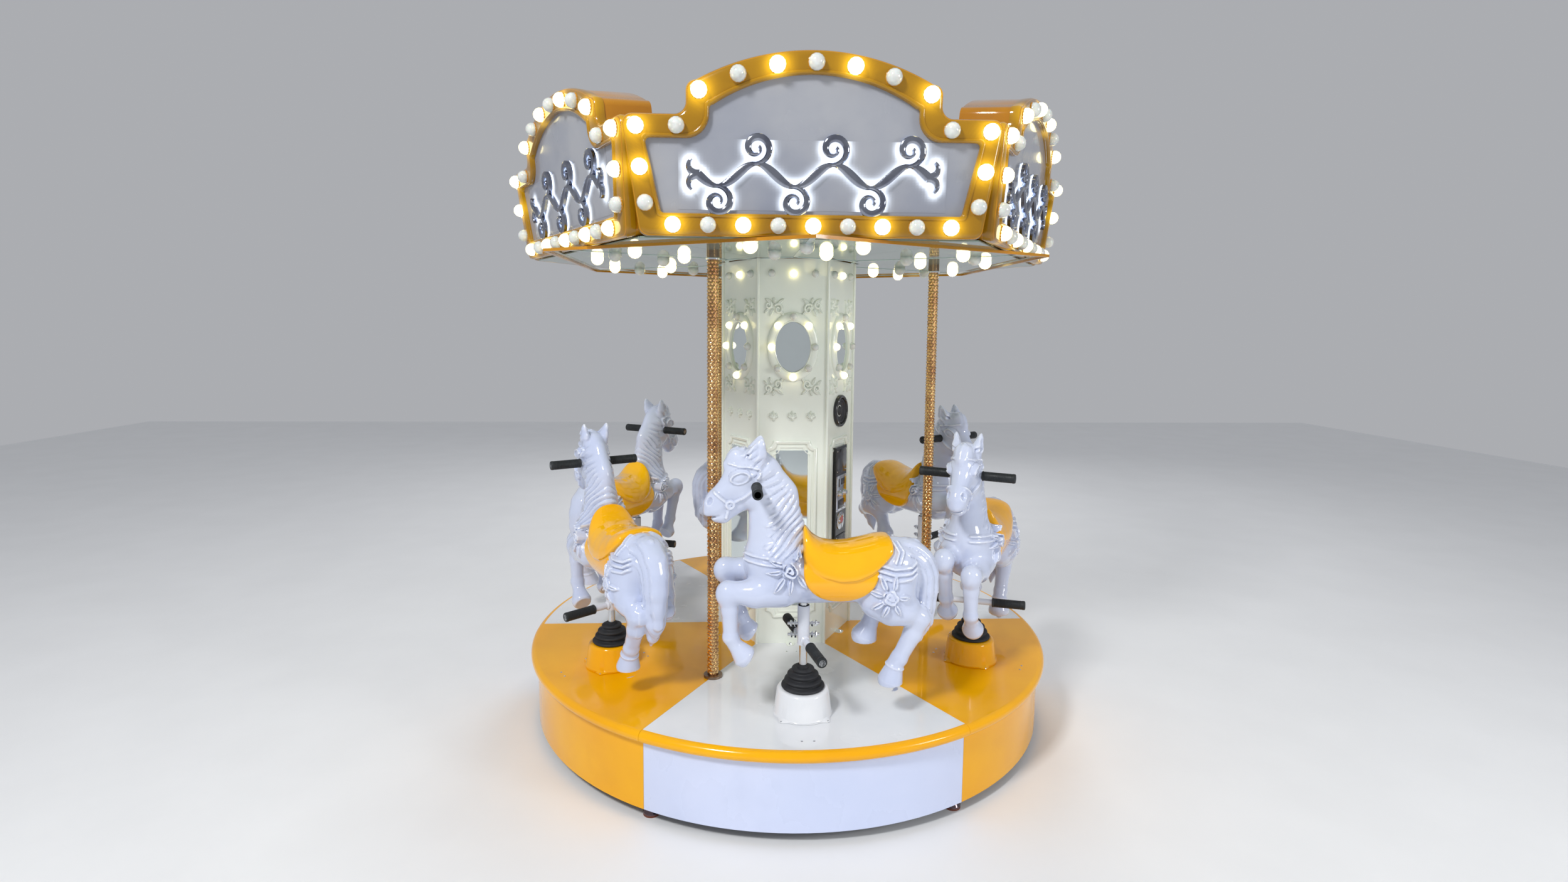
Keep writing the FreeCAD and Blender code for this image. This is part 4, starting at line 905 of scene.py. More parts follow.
def makeCeilingTrim():
    # pale strips along the mirror's mitres and edges, and the lip of the casings beyond them
    c = ceilingSettings
    low, high = ceilingLow - c["stripDepth"], ceilingLow + 0.0005
    across = 1 / math.cos(math.radians(30))

    def ring(inner, outer, bottom, top):
        rows = [[(r * across * math.cos(a), r * across * math.sin(a), z)
                 for a in (math.radians(30 + 60 * i) for i in range(6))]
                for r, z in ((inner, bottom), (outer, bottom), (outer, top), (inner, top))]
        return skin(rows, True, True)

    edge = c["edge"]
    strips = [ring(edge - c["stripWidth"], edge, low, high),
              ring(c["inner"], c["inner"] + c["stripWidth"], low, high)]
    half = c["stripWidth"] / 2
    start, end = (c["inner"] + 0.004) * across, (edge - c["stripWidth"] - 0.004) * across
    bar = skin([[(x, y, z) for y, z in ((-half, low), (half, low), (half, high), (-half, high))]
                for x in (start, end)], True, False, True)
    strips += [turned(bar, 30 + 60 * i) for i in range(6)]
    makePiece("ceiling_trim", strips, "trimGreen", (), 30)
    lip = ring(edge + c["lipInner"], edge + c["lipOuter"], ceilingLow - c["lipDepth"], high)
    makePiece("ceiling_lip", [lip], "canopyYellow", (), 30)


makeCeilingTrim()
print("lamps ready")


# column trim

def onColumn(across, out, up):
    return Vector((across, -columnFace - out, deckTop + up))


def ovalRow(width, height, out, steps=64):
    centre = columnSettings["ovalCentre"]
    return [onColumn(width * math.cos(a), out, centre + height * math.sin(a))
            for a in (2 * math.pi * i / steps for i in range(steps))]


def notchedOutline(inset):
    # upright frame whose corners are cut in by quarter circles
    s = columnSettings
    half, low, high = s["frameHalf"] - inset, s["frameBottom"] + inset, s["frameTop"] - inset
    notch = s["frameNotch"]
    # the quarter circle is centred on the frame's outer corner, so it bends inwards
    centre = (half, low)
    bend = [(centre[0] - notch * math.cos(a), centre[1] + notch * math.sin(a))
            for a in (math.pi / 2 * i / 8 for i in range(9))]
    right = bend + [(half, (low + high) / 2)]
    upper = [(x, low + high - z) for x, z in reversed(bend)]
    right = right + upper
    left = [(-x, z) for x, z in reversed(right)]
    return right + [(0, high)] + left + [(0, low)]


def makeMouldings():
    s = columnSettings
    outer, inner = s["ovalOuter"], s["ovalInner"]
    ring = [ovalRow(*[a + (b - a) * share for a, b in zip(outer, inner)], out)
            for share, out in s["ovalProfile"]]
    shapes = [skin(ring, True, True)]
    for profile in (s["frameProfile"], s["rimProfile"]):
        shapes.append(skin([[onColumn(across, out, up) for across, up in notchedOutline(inset)]
                            for inset, out in profile], True, True))
    shapes.append(skin([[onColumn(x, out, up) for x, out in s["tab"]] for up in (0.0, s["tabThick"])],
                       True, False, True))
    bead = solidLathe([(s["beadRadius"], deckTop), (s["beadRadius"], ceilingLow)], 20)
    corner = (columnFace + s["beadRadius"]) / math.cos(math.radians(30))
    beads = roundFaces([moved(bead, Matrix.Translation((corner - 0.004, 0, 0)))])
    makePiece("column_trim", roundFaces(shapes) + beads, "columnWhite",
              ("column_mouldings",), 40)
    bolts = [onColumn(0, s["tabBolt"], s["tabThick"])]
    screws("column_bolts", facePlaces(bolts, (0, 0, 1)), 0.0065, 0.005)


makeMouldings()


def leafHeight(x, z, root, tip, width, high):
    # pointed leaf with a sunk middle rib, in metres
    way = (tip[0] - root[0], tip[1] - root[1])
    length = math.hypot(*way)
    u = ((x - root[0]) * way[0] + (z - root[1]) * way[1]) / length ** 2
    v = (-(x - root[0]) * way[1] + (z - root[1]) * way[0]) / length
    if not 0 < u < 1:
        return 0
    half = width * math.sqrt(math.sin(u * math.pi)) * (1.2 - 0.6 * u)
    if abs(v) >= half:
        return 0
    dome = math.sqrt(1 - (v / half) ** 2)
    return high * dome * (1 - 0.45 * math.exp(-(v / (half * 0.22)) ** 2))


def curlHeight(x, z, centre, radius, high, turns=1.6, start=0.0):
    # spiral tendril
    gap, best = math.hypot(x - centre[0], z - centre[1]), 0
    angle = math.atan2(z - centre[1], x - centre[0]) - start
    for lap in range(-1, 3):
        sweep = angle + lap * 2 * math.pi
        if 0 <= sweep <= turns * 2 * math.pi:
            at = radius * (1 - sweep / (turns * 2 * math.pi) * 0.85)
            wide = 0.0022 + 0.0014 * at / radius
            best = max(best, 1 - ((gap - at) / wide) ** 2)
    return high * math.sqrt(max(best, 0))


def relief(half, steps, height):
    # raised patch on the front face: a grid kept only where the height is above the face
    cells = {}
    points, faces = [], []
    heights = [[height(half[0] * (2 * i / steps - 1), half[1] * (2 * j / steps - 1))
                for j in range(steps + 1)] for i in range(steps + 1)]

    def at(i, j):
        if (i, j) not in cells:
            cells[i, j] = len(points)
            points.append(Vector((half[0] * (2 * i / steps - 1), -heights[i][j],
                                  half[1] * (2 * j / steps - 1))))
        return cells[i, j]

    for i in range(steps):
        for j in range(steps):
            if max(heights[i][j], heights[i + 1][j], heights[i][j + 1], heights[i + 1][j + 1]) > 0:
                faces.append((at(i, j), at(i + 1, j), at(i + 1, j + 1), at(i, j + 1)))
    top = len(points)
    back = [Vector((p.x, 0.0015, p.z)) for p in points]
    rims = {}
    for face in faces:
        for a, b in zip(face, face[1:] + face[:1]):
            rims[a, b] = True
    walls = [(b, a, a + top, b + top) for a, b in rims if (b, a) not in rims]
    backs = [tuple(i + top for i in reversed(face)) for face in faces]
    return points + back, faces + walls + backs


coinSettings = {
    "turn": 60,                  # the face that has the loudspeaker and the coin door
    "speakerRadius": 0.062,
    "speakerHeight": 0.880,
    "speakerRim": ((0, -0.001), (0, 0.009), (0.003, 0.0125), (0.009, 0.0135), (0.012, 0.0110),
                   (0.013, 0.004), (0.013, -0.001)),                       # (inset, out)
    "speakerSurround": ((0, 0.004), (0.002, 0.0075), (0.006, 0.009), (0.010, 0.0075), (0.012, 0.004)),
    "speakerCone": ((0.020, -0.0005), (0.0165, 0.003), (0.013, 0.0062), (0.007, 0.0085), (0.0, 0.0092),
                    (0.0, -0.001)),                                        # (radius, out)
    "speakerBolts": 0.0555,
    "doorFront": 0.010,          # from the column's face to the door's outer face
    "covers": ((0.640, 0.735), (0.160, 0.395)),
    "knob": ((0.0, 0), (0.011, 0), (0.0115, 0.004), (0.0095, 0.0065), (0.009, 0.013), (0.0075, 0.015),
             (0, 0.0155)),
    "lock": ((0, 0), (0.009, 0), (0.009, 0.003), (0.0075, 0.0045), (0, 0.0048)),
    "buttonHeight": 0.455,
    "bezelRadius": 0.0152,
    "bezel": ((0, -0.001), (0, 0.006), (0.0018, 0.0075), (0.0048, 0.006), (0.0063, 0.002),
              (0.0063, -0.001)),
    "screwAcross": 0.044,
    "screwHeights": (0.648, 0.727, 0.168, 0.387, 0.498, 0.622),
}
reliefSettings = {
    # the spray's leaves as (root, tip, width); the palmette's as (angle, length)
    "sprig": (((-0.010, 0.008), (-0.029, 0.021), 0.0050), ((-0.002, 0.010), (0.002, 0.024), 0.0046),
              ((0.008, 0.012), (0.026, 0.021), 0.0044), ((-0.020, -0.010), (-0.030, -0.021), 0.0042),
              ((0.004, -0.004), (0.012, -0.021), 0.0048), ((0.018, -0.004), (0.029, -0.014), 0.0040)),
    "sprigHigh": 0.0048,
    "palmette": ((90, 0.019), (50, 0.017), (130, 0.017), (12, 0.014), (168, 0.014), (-90, 0.012)),
}


def sprigHeight(x, z):
    # acanthus spray that curls round the oval's shoulder
    best = curlHeight(x, z, (-0.012, -0.004), 0.0135, 0.0050, 1.4, 0.6)
    best = max(best, curlHeight(x, z, (0.017, 0.006), 0.0095, 0.0045, 1.3, 2.4))
    for root, tip, width in reliefSettings["sprig"]:
        best = max(best, leafHeight(x, z, root, tip, width, reliefSettings["sprigHigh"]))
    return best


def palmetteHeight(x, z):
    # small fan of leaves with a round boss
    best = 0
    for angle, length in reliefSettings["palmette"]:
        tip = (length * math.cos(math.radians(angle)), length * math.sin(math.radians(angle)))
        best = max(best, leafHeight(x, z, (0, -0.002), tip, 0.0042, 0.0050))
    return max(best, 0.0055 * math.sqrt(max(0, 1 - (x * x + (z + 0.002) ** 2) / 0.0045 ** 2)))


def makeOrnaments():
    s = columnSettings
    wide, tall = s["sprigGrow"]
    spray = relief((0.031 * wide, 0.026 * tall), 50,
                   lambda x, z: sprigHeight(x / wide, z / tall) * s["reliefDepth"])
    grow = s["palmetteGrow"]
    palmette = relief((0.020 * grow, 0.021 * grow), 34,
                      lambda x, z: palmetteHeight(x / grow, z / grow) * s["reliefDepth"])
    shapes = []
    for side in (-1, 1):
        for above in (-1, 1):
            flip = Matrix.Diagonal((side, 1, above, 1))
            spot = onColumn(side * s["sprigAcross"], 0, s["ovalCentre"] + above * s["sprigRise"])
            shapes += roundFaces([moved(spray, Matrix.Translation(spot) @ flip)])
    plain = [turn for turn in cornerTurns if turn != coinSettings["turn"]]
    for number in (-1, 0, 1):
        spot = onColumn(number * s["palmettePitch"], 0, s["palmettes"])
        shapes += roundFaces([moved(palmette, Matrix.Translation(spot))], plain)
    makePiece("column_reliefs", shapes, "columnWhite",
              ("column_ornaments",), 80)


makeOrnaments()
print("column trim ready")


# loudspeaker and coin door

def makeSpeaker():
    s = coinSettings
    spin = Matrix.Rotation(math.radians(s["turn"]), 4, "Z")
    face = spin @ Matrix.Translation((0, -columnFace, deckTop + s["speakerHeight"])) \
        @ Matrix.Rotation(math.radians(90), 4, "X")
    rim = lathe([(s["speakerRadius"] - inset, out) for inset, out in s["speakerRim"]], 56)
    makePiece("speaker_rim", [moved(rim, face)], "doorBlack",
              ("loudspeaker",), 50)
    edge = s["speakerRadius"] - s["speakerRim"][-1][0]
    profile = [(edge - inset, out) for inset, out in s["speakerSurround"]] + list(s["speakerCone"])
    cone = lathe(profile + [(edge, -0.001)], 56)
    makePiece("speaker_cone", [moved(cone, face)], "speakerCone", (), 40)
    bolts = [(face @ Vector((s["speakerBolts"] * math.cos(a), s["speakerBolts"] * math.sin(a), 0.0125)),
              face.to_3x3() @ Vector((0, 0, 1)))
             for a in (math.pi / 2 * i + math.pi / 4 for i in range(4))]
    screws("speaker_screws", bolts, 0.0032)


makeSpeaker()


def plate(half, low, high, back, front, corner=0.006, edge=0.0012):
    # flat plate with round corners and softened front edges, on the front face
    def row(inset, out):
        x, lowZ, highZ, r = half - inset, low + inset, high - inset, max(corner - inset, 0.0005)
        points = []
        for cx, cz, first in ((x - r, highZ - r, 0), (-x + r, highZ - r, 90), (-x + r, lowZ + r, 180),
                              (x - r, lowZ + r, 270)):
            points += [onColumn(cx + r * math.cos(math.radians(first + 90 * i / 5)), out,
                                cz + r * math.sin(math.radians(first + 90 * i / 5))) for i in range(6)]
        return points
    rows = [row(0, back), row(0, front - edge), row(edge * 0.3, front - edge * 0.3), row(edge, front)]
    return skin(rows, True, False, True)


def shifted(shape, across=0.0, up=0.0):
    return moved(shape, Matrix.Translation((across, 0, up)))


def makeCoinUnit():
    s = coinSettings
    turn, front = s["turn"], s["doorFront"]
    dark, bright = [], []
    for low, high in s["covers"]:
        dark.append(plate(0.050, low, high, front - 0.001, front + 0.0035))
    bright.append(plate(0.052, 0.490, 0.630, front - 0.001, front + 0.003, 0.008))   # coin plate
    bright.append(plate(0.034, 0.415, 0.484, front - 0.001, front + 0.003, 0.030))   # button plate
    slot = plate(0.0035, 0.585, 0.618, front + 0.002, front + 0.0042, 0.0015, 0.0004)
    cup = plate(0.030, 0.500, 0.535, front + 0.002, front + 0.0040, 0.004, 0.0004)
    window = plate(0.018, 0.592, 0.616, front + 0.002, front + 0.0040, 0.002, 0.0004)
    dark += [shifted(slot, -0.022), cup, shifted(window, 0.018)]
    makePiece("coin_door_covers", roundFaces(dark, (turn,)), "doorBlack", (), 40,
              "coin_door")
    out = Matrix.Rotation(math.radians(90), 4, "X")

    def fitting(shape, across, lift, up):
        bright.append(moved(shape, Matrix.Translation(onColumn(across, front + lift, up)) @ out))

    for across in (-0.022, 0.022):
        fitting(lathe(s["knob"], 28, False), across, 0.002, 0.560)
    bezel = [(s["bezelRadius"] + wider, lift) for wider, lift in s["bezel"]]
    fitting(lathe(bezel, 40), 0, 0, s["buttonHeight"])
    fitting(lathe(s["lock"], 24, False), 0.038, 0.003, 0.280)
    makePiece("coin_fittings", roundFaces(bright, (turn,)), "chrome", (), 40, "coin_door")
    spots = [onColumn(across, front + 0.003, height)
             for across in (-s["screwAcross"], s["screwAcross"]) for height in s["screwHeights"]]
    places = facePlaces(spots, (0, -1, 0), (turn,))
    screws("coin_door_screws", places, 0.0028, body="coin_door")


makeCoinUnit()
print("speaker and coin door ready")


# poles

poleSettings = {
    "radius": 0.019,
    "turns": (0, 120, -120),
    "sleeve": 0.030,
    "bossRow": 0.0115,        # from one row of bosses to the next
    "bossCount": 8,
    "bossWidth": 0.0072,
    "bossHeight": 0.0036,
    "firstRow": 0.012,
    # (radius, height above the sleeve's lower edge)
    "collar": ((0.0192, -0.002), (0.0225, -0.001), (0.0228, 0.004), (0.0212, 0.006), (0.0192, 0.006)),
}
poleLow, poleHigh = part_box("gold_poles")
poleCircle = poleHigh.x - poleSettings["radius"]


def bossShape(tree, size):
    # four-sided boss, like a small diamond
    return addNode(tree, "GeometryNodeMeshCone", {
        "Vertices": 4, "Radius Bottom": size["Width"], "Radius Top": size["Top"],
        "Depth": size["Height"]}).outputs["Mesh"]


def makePoles():
    s = poleSettings
    core = solidLathe([(s["radius"] - 0.0016, poleLow.z), (s["radius"] - 0.0016, poleHigh.z)], 32)
    place = Matrix.Translation((poleCircle, 0, 0))
    # the tube's darker metal is painted shade between the bosses
    makePiece("pole_tubes", roundFaces([moved(core, place)], s["turns"]), "poleShadeBronze",
              ("gold_poles",), 40)
    places = []
    sleeve = poleHigh.z - s["sleeve"]
    rows = int((sleeve - poleLow.z - s["firstRow"]) / s["bossRow"])
    for row in range(rows):
        height = poleLow.z + s["firstRow"] + s["bossRow"] * (row + 0.5)
        for number in range(s["bossCount"]):
            angle = 2 * math.pi * (number + row % 2 / 2) / s["bossCount"]
            way = Vector((math.cos(angle), math.sin(angle), 0))
            spot = way * (s["radius"] - 0.0022) + Vector((poleCircle, 0, height))
            places += facePlaces([spot], way, s["turns"])
    mesh = scatter("pole_bosses", places, "gold", {
        "Width": s["bossWidth"], "Top": s["bossWidth"] * 0.25, "Height": s["bossHeight"]}, bossShape)
    finishPiece("pole_bosses", mesh, "gold", (), 60)
    lip = lathe([(radius, sleeve + height) for radius, height in s["collar"]], 32)
    makePiece("pole_collars", roundFaces([moved(lip, place)], s["turns"]), "chrome",
              (), 40)


makePoles()
print("poles ready")

# deck, cones and boots

deckSettings = {
    "coneFlange": 0.100,
    "coneRadius": 0.090,
    "coneTop": 0.080,
    "coneHeight": 0.082,
    "lug": 0.014,
    "lugs": 4,
    "bootBase": 0.068,
    "bootNeck": 0.040,
    "bootHeight": 0.062,
    "bootFolds": 3,
    "lugScrew": 0.0125,      # from a lug's tip to its screw
    "jointScrews": (0.30, 0.62, 0.93),
    "jointGap": 0.018,       # from the joint of two sectors to the screws on either side
}
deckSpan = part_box("deck_rim")[1].x


def coneShape():
    # four lugs at the foot, a round shoulder at the top and a hole for the boot; (radius, height, lug)
    s = deckSettings
    steps = 96
    flange, top, high, hole = s["coneFlange"], s["coneTop"], s["coneHeight"], s["bootBase"] - 0.008
    profile = [(0.070, 0.0002, 0), (flange - 0.008, 0.0002, 1), (flange - 0.006, 0.0022, 1),
               (flange - 0.009, 0.0036, 0.9), (s["coneRadius"] + 0.003, 0.0050, 0.15),
               (s["coneRadius"], 0.0085, 0), (top + 0.0015, high - 0.008, 0),
               (top - 0.001, high - 0.003, 0), (top - 0.005, high - 0.0006, 0), (top - 0.010, high, 0),
               (hole, high, 0), (hole, high - 0.004, 0), (top - 0.008, high - 0.005, 0)]
    rows = []
    for radius, height, lug in profile:
        row = []
        for step in range(steps):
            angle = 2 * math.pi * step / steps
            swell = max(0, math.cos(angle * s["lugs"])) ** 6
            reach = radius + lug * s["lug"] * swell
            row.append((reach * math.cos(angle), reach * math.sin(angle), deckTop + height))
        rows.append(row)
    return skin(rows, True, True)


def makeCones():
    s = deckSettings
    spin = Matrix.Rotation(math.radians(45), 4, "Z")
    cone = moved(coneShape(), Matrix.Translation((horseCircle, 0, 0)) @ spin)
    for key, turns, material in (("white", (-90, 30, 150), "deckWhite"),
                                 ("yellow", (-30, 90, -150), "deckYellow")):
        makePiece("cone_covers_" + key, roundFaces([cone], turns), material,
                  ("cones_" + key,), 40)
    reach = s["coneFlange"] + s["lug"] - s["lugScrew"]
    spots = [(horseCircle + reach * math.cos(a), reach * math.sin(a), deckTop + 0.0025)
             for a in (math.radians(45 + 90 * i) for i in range(4))]
    screws("cone_screws", facePlaces(spots, (0, 0, 1), sectorTurns), 0.0038)
    joints = [(deckSpan * radius * math.cos(a), deckSpan * radius * math.sin(a), deckTop - 0.0003)
              for radius in s["jointScrews"]
              for a in (math.radians(30) + side * s["jointGap"] / radius for side in (-1, 1))]
    screws("deck_screws", facePlaces(joints, (0, 0, 1)), 0.0042, 0.0012)


makeCones()


def bootShape():
    # three rounded folds, each narrower than the one below, and a collar round the rod
    s = deckSettings
    folds, top = s["bootFolds"], s["bootHeight"]
    pitch = top * 0.86 / folds
    outside = []
    for fold in range(folds):
        wide = s["bootBase"] - (s["bootBase"] - s["bootNeck"]) * fold / folds
        low = top * 0.86 * fold / folds
        outside += [(wide - inset, low + pitch * share) for inset, share in (
            (0.007, 0), (0.0015, 0.10), (0, 0.24), (0.0008, 0.42), (0.004, 0.54),
            (0.0125, 0.64), (0.0165, 0.78), (0.0165, 0.92))]
    outside += [(0.0335, top * 0.87), (0.035, top * 0.90), (0.035, top * 0.96), (0.033, top),
                (0.024, top + 0.001), (0.0185, top + 0.001), (0.0170, top + 0.006),
                (0.0165, top + 0.0095), (0.0135, top + 0.010), (0.0135, top - 0.004)]
    inside = [(radius - 0.003, max(height, 0.0002)) for radius, height in reversed(outside[:-8])]
    return outside + inside


def makeBoots():
    base = deckTop + deckSettings["coneHeight"]
    boot = moved(lathe(bootShape(), 56), Matrix.Translation((horseCircle, 0, base)))
    for number, turn in enumerate(sectorTurns, start=1):
        piece = makePiece("boot_%d" % number, [turned(boot, turn)], "bootRubber",
                          ("bellows",), 60, None)
        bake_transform(piece)


makeBoots()
print("cones and boots ready")


# horses, modelled like clay: rounded masses are pressed into a block of distances, in millimetres
# from the rod and the deck, with the head towards -X; relief is then raised on the surface

class Clay:
    def __init__(self, low, high, cell):
        self.low = np.array(low, float)
        self.cell = cell
        self.counts = [int(math.ceil((b - a) / cell)) + 1 for a, b in zip(low, high)]
        self.values = np.full(self.counts, 3.0 * cell, np.float32)

    def axes(self, spans):
        lines = []
        for axis, span in enumerate(spans):
            line = self.low[axis] + self.cell * np.arange(span.start, span.stop, dtype=np.float32)
            lines.append(line.reshape([-1 if i == axis else 1 for i in range(3)]).astype(np.float32))
        return lines

    def region(self, low, high, margin):
        spans = []
        for axis in range(3):
            first = int((low[axis] - margin - self.low[axis]) / self.cell)
            last = int((high[axis] + margin - self.low[axis]) / self.cell) + 2
            spans.append(slice(max(first, 0), min(max(last, 0), self.counts[axis])))
        return tuple(spans)

    def press(self, shape, low, high, blend, take):
        # joins a shape to the clay, or takes it away, with a soft edge as wide as the blend
        spans = self.region(low, high, blend + 3 * self.cell)
        there = self.values[spans]
        new = shape(*self.axes(spans))
        if take:
            there, new = -there, new
        mix = np.clip(0.5 + 0.5 * (there - new) / blend, 0, 1)
        joint = there * (1 - mix) + new * mix - blend * mix * (1 - mix)
        self.values[spans] = -joint if take else joint

    def limb(self, start, end, startRadius, endRadius, blend=8.0, flat=1.0, take=False):
        # tapered limb with round ends; flat squeezes it across the horse
        a, b = np.array(start, float), np.array(end, float)
        centre = (a[1] + b[1]) / 2
        p, q = a.copy(), b.copy()
        p[1] = centre + (a[1] - centre) / flat
        q[1] = centre + (b[1] - centre) / flat
        way = q - p
        length = float(way @ way) + 1e-9

        def shape(x, y, z):
            dx, dy, dz = x - p[0], (y - centre) / flat + centre - p[1], z - p[2]
            share = np.clip((dx * way[0] + dy * way[1] + dz * way[2]) / length, 0, 1)
            dx, dy, dz = dx - share * way[0], dy - share * way[1], dz - share * way[2]
            gap = np.sqrt(dx ** 2 + dy ** 2 + dz ** 2)
            return (gap - (startRadius + (endRadius - startRadius) * share)) * min(1.0, flat)

        reach = max(startRadius, endRadius)
        self.press(shape, np.minimum(a, b) - reach, np.maximum(a, b) + reach, blend, take)

    def pair(self, start, end, startRadius, endRadius, **rest):
        for side in (-1, 1):
            self.limb((start[0], start[1] * side, start[2]), (end[0], end[1] * side, end[2]),
                      startRadius, endRadius, **rest)

    def egg(self, centre, sizes, blend=8.0, turn=0.0, take=False):
        # ellipsoid, tipped in the horse's own plane by a turn in degrees
        c, s = math.cos(math.radians(turn)), math.sin(math.radians(turn))
        rx, ry, rz = sizes

        def shape(x, y, z):
            dx, dy, dz = x - centre[0], y - centre[1], z - centre[2]
            u, w = dx * c + dz * s, -dx * s + dz * c
            near = np.sqrt((u / rx) ** 2 + (dy / ry) ** 2 + (w / rz) ** 2)
            slope = np.sqrt((u / rx ** 2) ** 2 + (dy / ry ** 2) ** 2 + (w / rz ** 2) ** 2)
            return near * (near - 1) / np.maximum(slope, 1e-6)

        reach = max(rx, rz)
        low = (centre[0] - reach, centre[1] - ry, centre[2] - reach)
        high = (centre[0] + reach, centre[1] + ry, centre[2] + reach)
        self.press(shape, low, high, blend, take)

    def eggs(self, centre, sizes, **rest):
        for side in (-1, 1):
            self.egg((centre[0], centre[1] * side, centre[2]), sizes, **rest)

    def lift(self, relief, low, high):
        # raises the surface by relief(x, y, z), or sinks it where that is negative
        spans = self.region(low, high, 0)
        self.values[spans] -= relief(*self.axes(spans)).astype(np.float32)

    def mesh(self, name, share):
        limit = 3 * self.cell
        grid = vdb.FloatGrid(limit)
        grid.copyFromArray(np.clip(self.values, -limit, limit).astype(np.float32))
        points, _, quads = grid.convertToPolygons(isovalue=0.0, adaptivity=0.0)
        place = np.array((0, -horseCircle, deckTop))
        points = (self.low + self.cell * np.asarray(points, float)) * 0.001 + place
        mesh = bpy.data.meshes.new(name)
        mesh.from_pydata(points.tolist(), [], quads.tolist())
        corners = points[np.asarray(quads)[:, :3]]
        volume = np.einsum("ij,ij->i", corners[:, 0], np.cross(corners[:, 1], corners[:, 2])).sum()
        if volume < 0:
            mesh.flip_normals()
        holder = bpy.data.objects.new(name, mesh)
        bpy.context.scene.collection.objects.link(holder)
        thin = holder.modifiers.new("thin", "DECIMATE")
        thin.ratio = share
        graph = bpy.context.evaluated_depsgraph_get()
        done = bpy.data.meshes.new_from_object(holder.evaluated_get(graph))
        bpy.data.objects.remove(holder)
        return done


def ease(value, low, high):
    t = np.clip((value - low) / (high - low), 0, 1)
    return t * t * (3 - 2 * t)


def lineGap(x, z, points):
    # distance in the horse's own plane to a line through the points
    best = np.full(np.broadcast(x, z).shape, 1e9, np.float32)
    for (ax, az), (bx, bz) in zip(points, points[1:]):
        lx, lz = bx - ax, bz - az
        t = np.clip(((x - ax) * lx + (z - az) * lz) / (lx * lx + lz * lz), 0, 1)
        best = np.minimum(best, np.hypot(x - ax - t * lx, z - az - t * lz))
    return best


def smoothLine(knots, xs):
    kx, ky = zip(*knots)
    fine = np.linspace(kx[0], kx[-1], 200)
    line = np.interp(fine, kx, ky)
    for _ in range(40):
        line[1:-1] = (line[:-2] + 2 * line[1:-1] + line[2:]) / 4
    return np.interp(xs, fine, line)


horseSettings = {
    "cell": 3.0,
    "low": (-335, -118, 84),
    "high": (425, 118, 878),
    "keep": 0.52,             # share of the triangles kept after thinning
    "saddleCell": 2.8,
    "saddleKeep": 0.5,
    "handlebar": (-150, 725),     # x and height of the bar through the neck
    "barReach": 0.162,
    "gripLength": 0.110,
    "gripRadius": 0.016,
    "ribPitch": 0.0048,
    "footrest": 235,
    "footReach": 0.185,
    "footGrip": 0.115,
    "footWay": (0.21, -0.98, 0),
    "sleeve": (0.219, 0.344),     # heights of the footrest sleeve's ends
    "boltHeights": (0.285, 0.250),
}


def modelBody(clay):
    clay.limb((0, 0, 440), (180, 0, 440), 86, 84, flat=0.98)                   # barrel
    clay.limb((-82, 0, 436), (-92, 0, 486), 82, 78, blend=30, flat=0.98)       # chest
    clay.pair((-40, 30, 440), (-62, 34, 470), 52, 50, blend=24)                # shoulders
    clay.limb((235, 0, 440), (268, 0, 462), 86, 88, blend=30, flat=0.98)       # croup
    clay.pair((270, 34, 420), (262, 36, 390), 64, 62, blend=22)                # haunches
    clay.limb((-94, 0, 500), (-94, 0, 590), 82, 62, blend=30, flat=0.74)       # neck
    clay.limb((-94, 0, 590), (-112, 0, 680), 62, 56, blend=24, flat=0.70)
    clay.limb((-112, 0, 680), (-138, 0, 745), 56, 56, blend=20, flat=0.68)
    clay.limb((-40, 0, 560), (-74, 0, 690), 34, 36, blend=26, flat=0.6)        # crest
    clay.limb((-74, 0, 690), (-128, 0, 772), 36, 36, blend=24, flat=0.6)


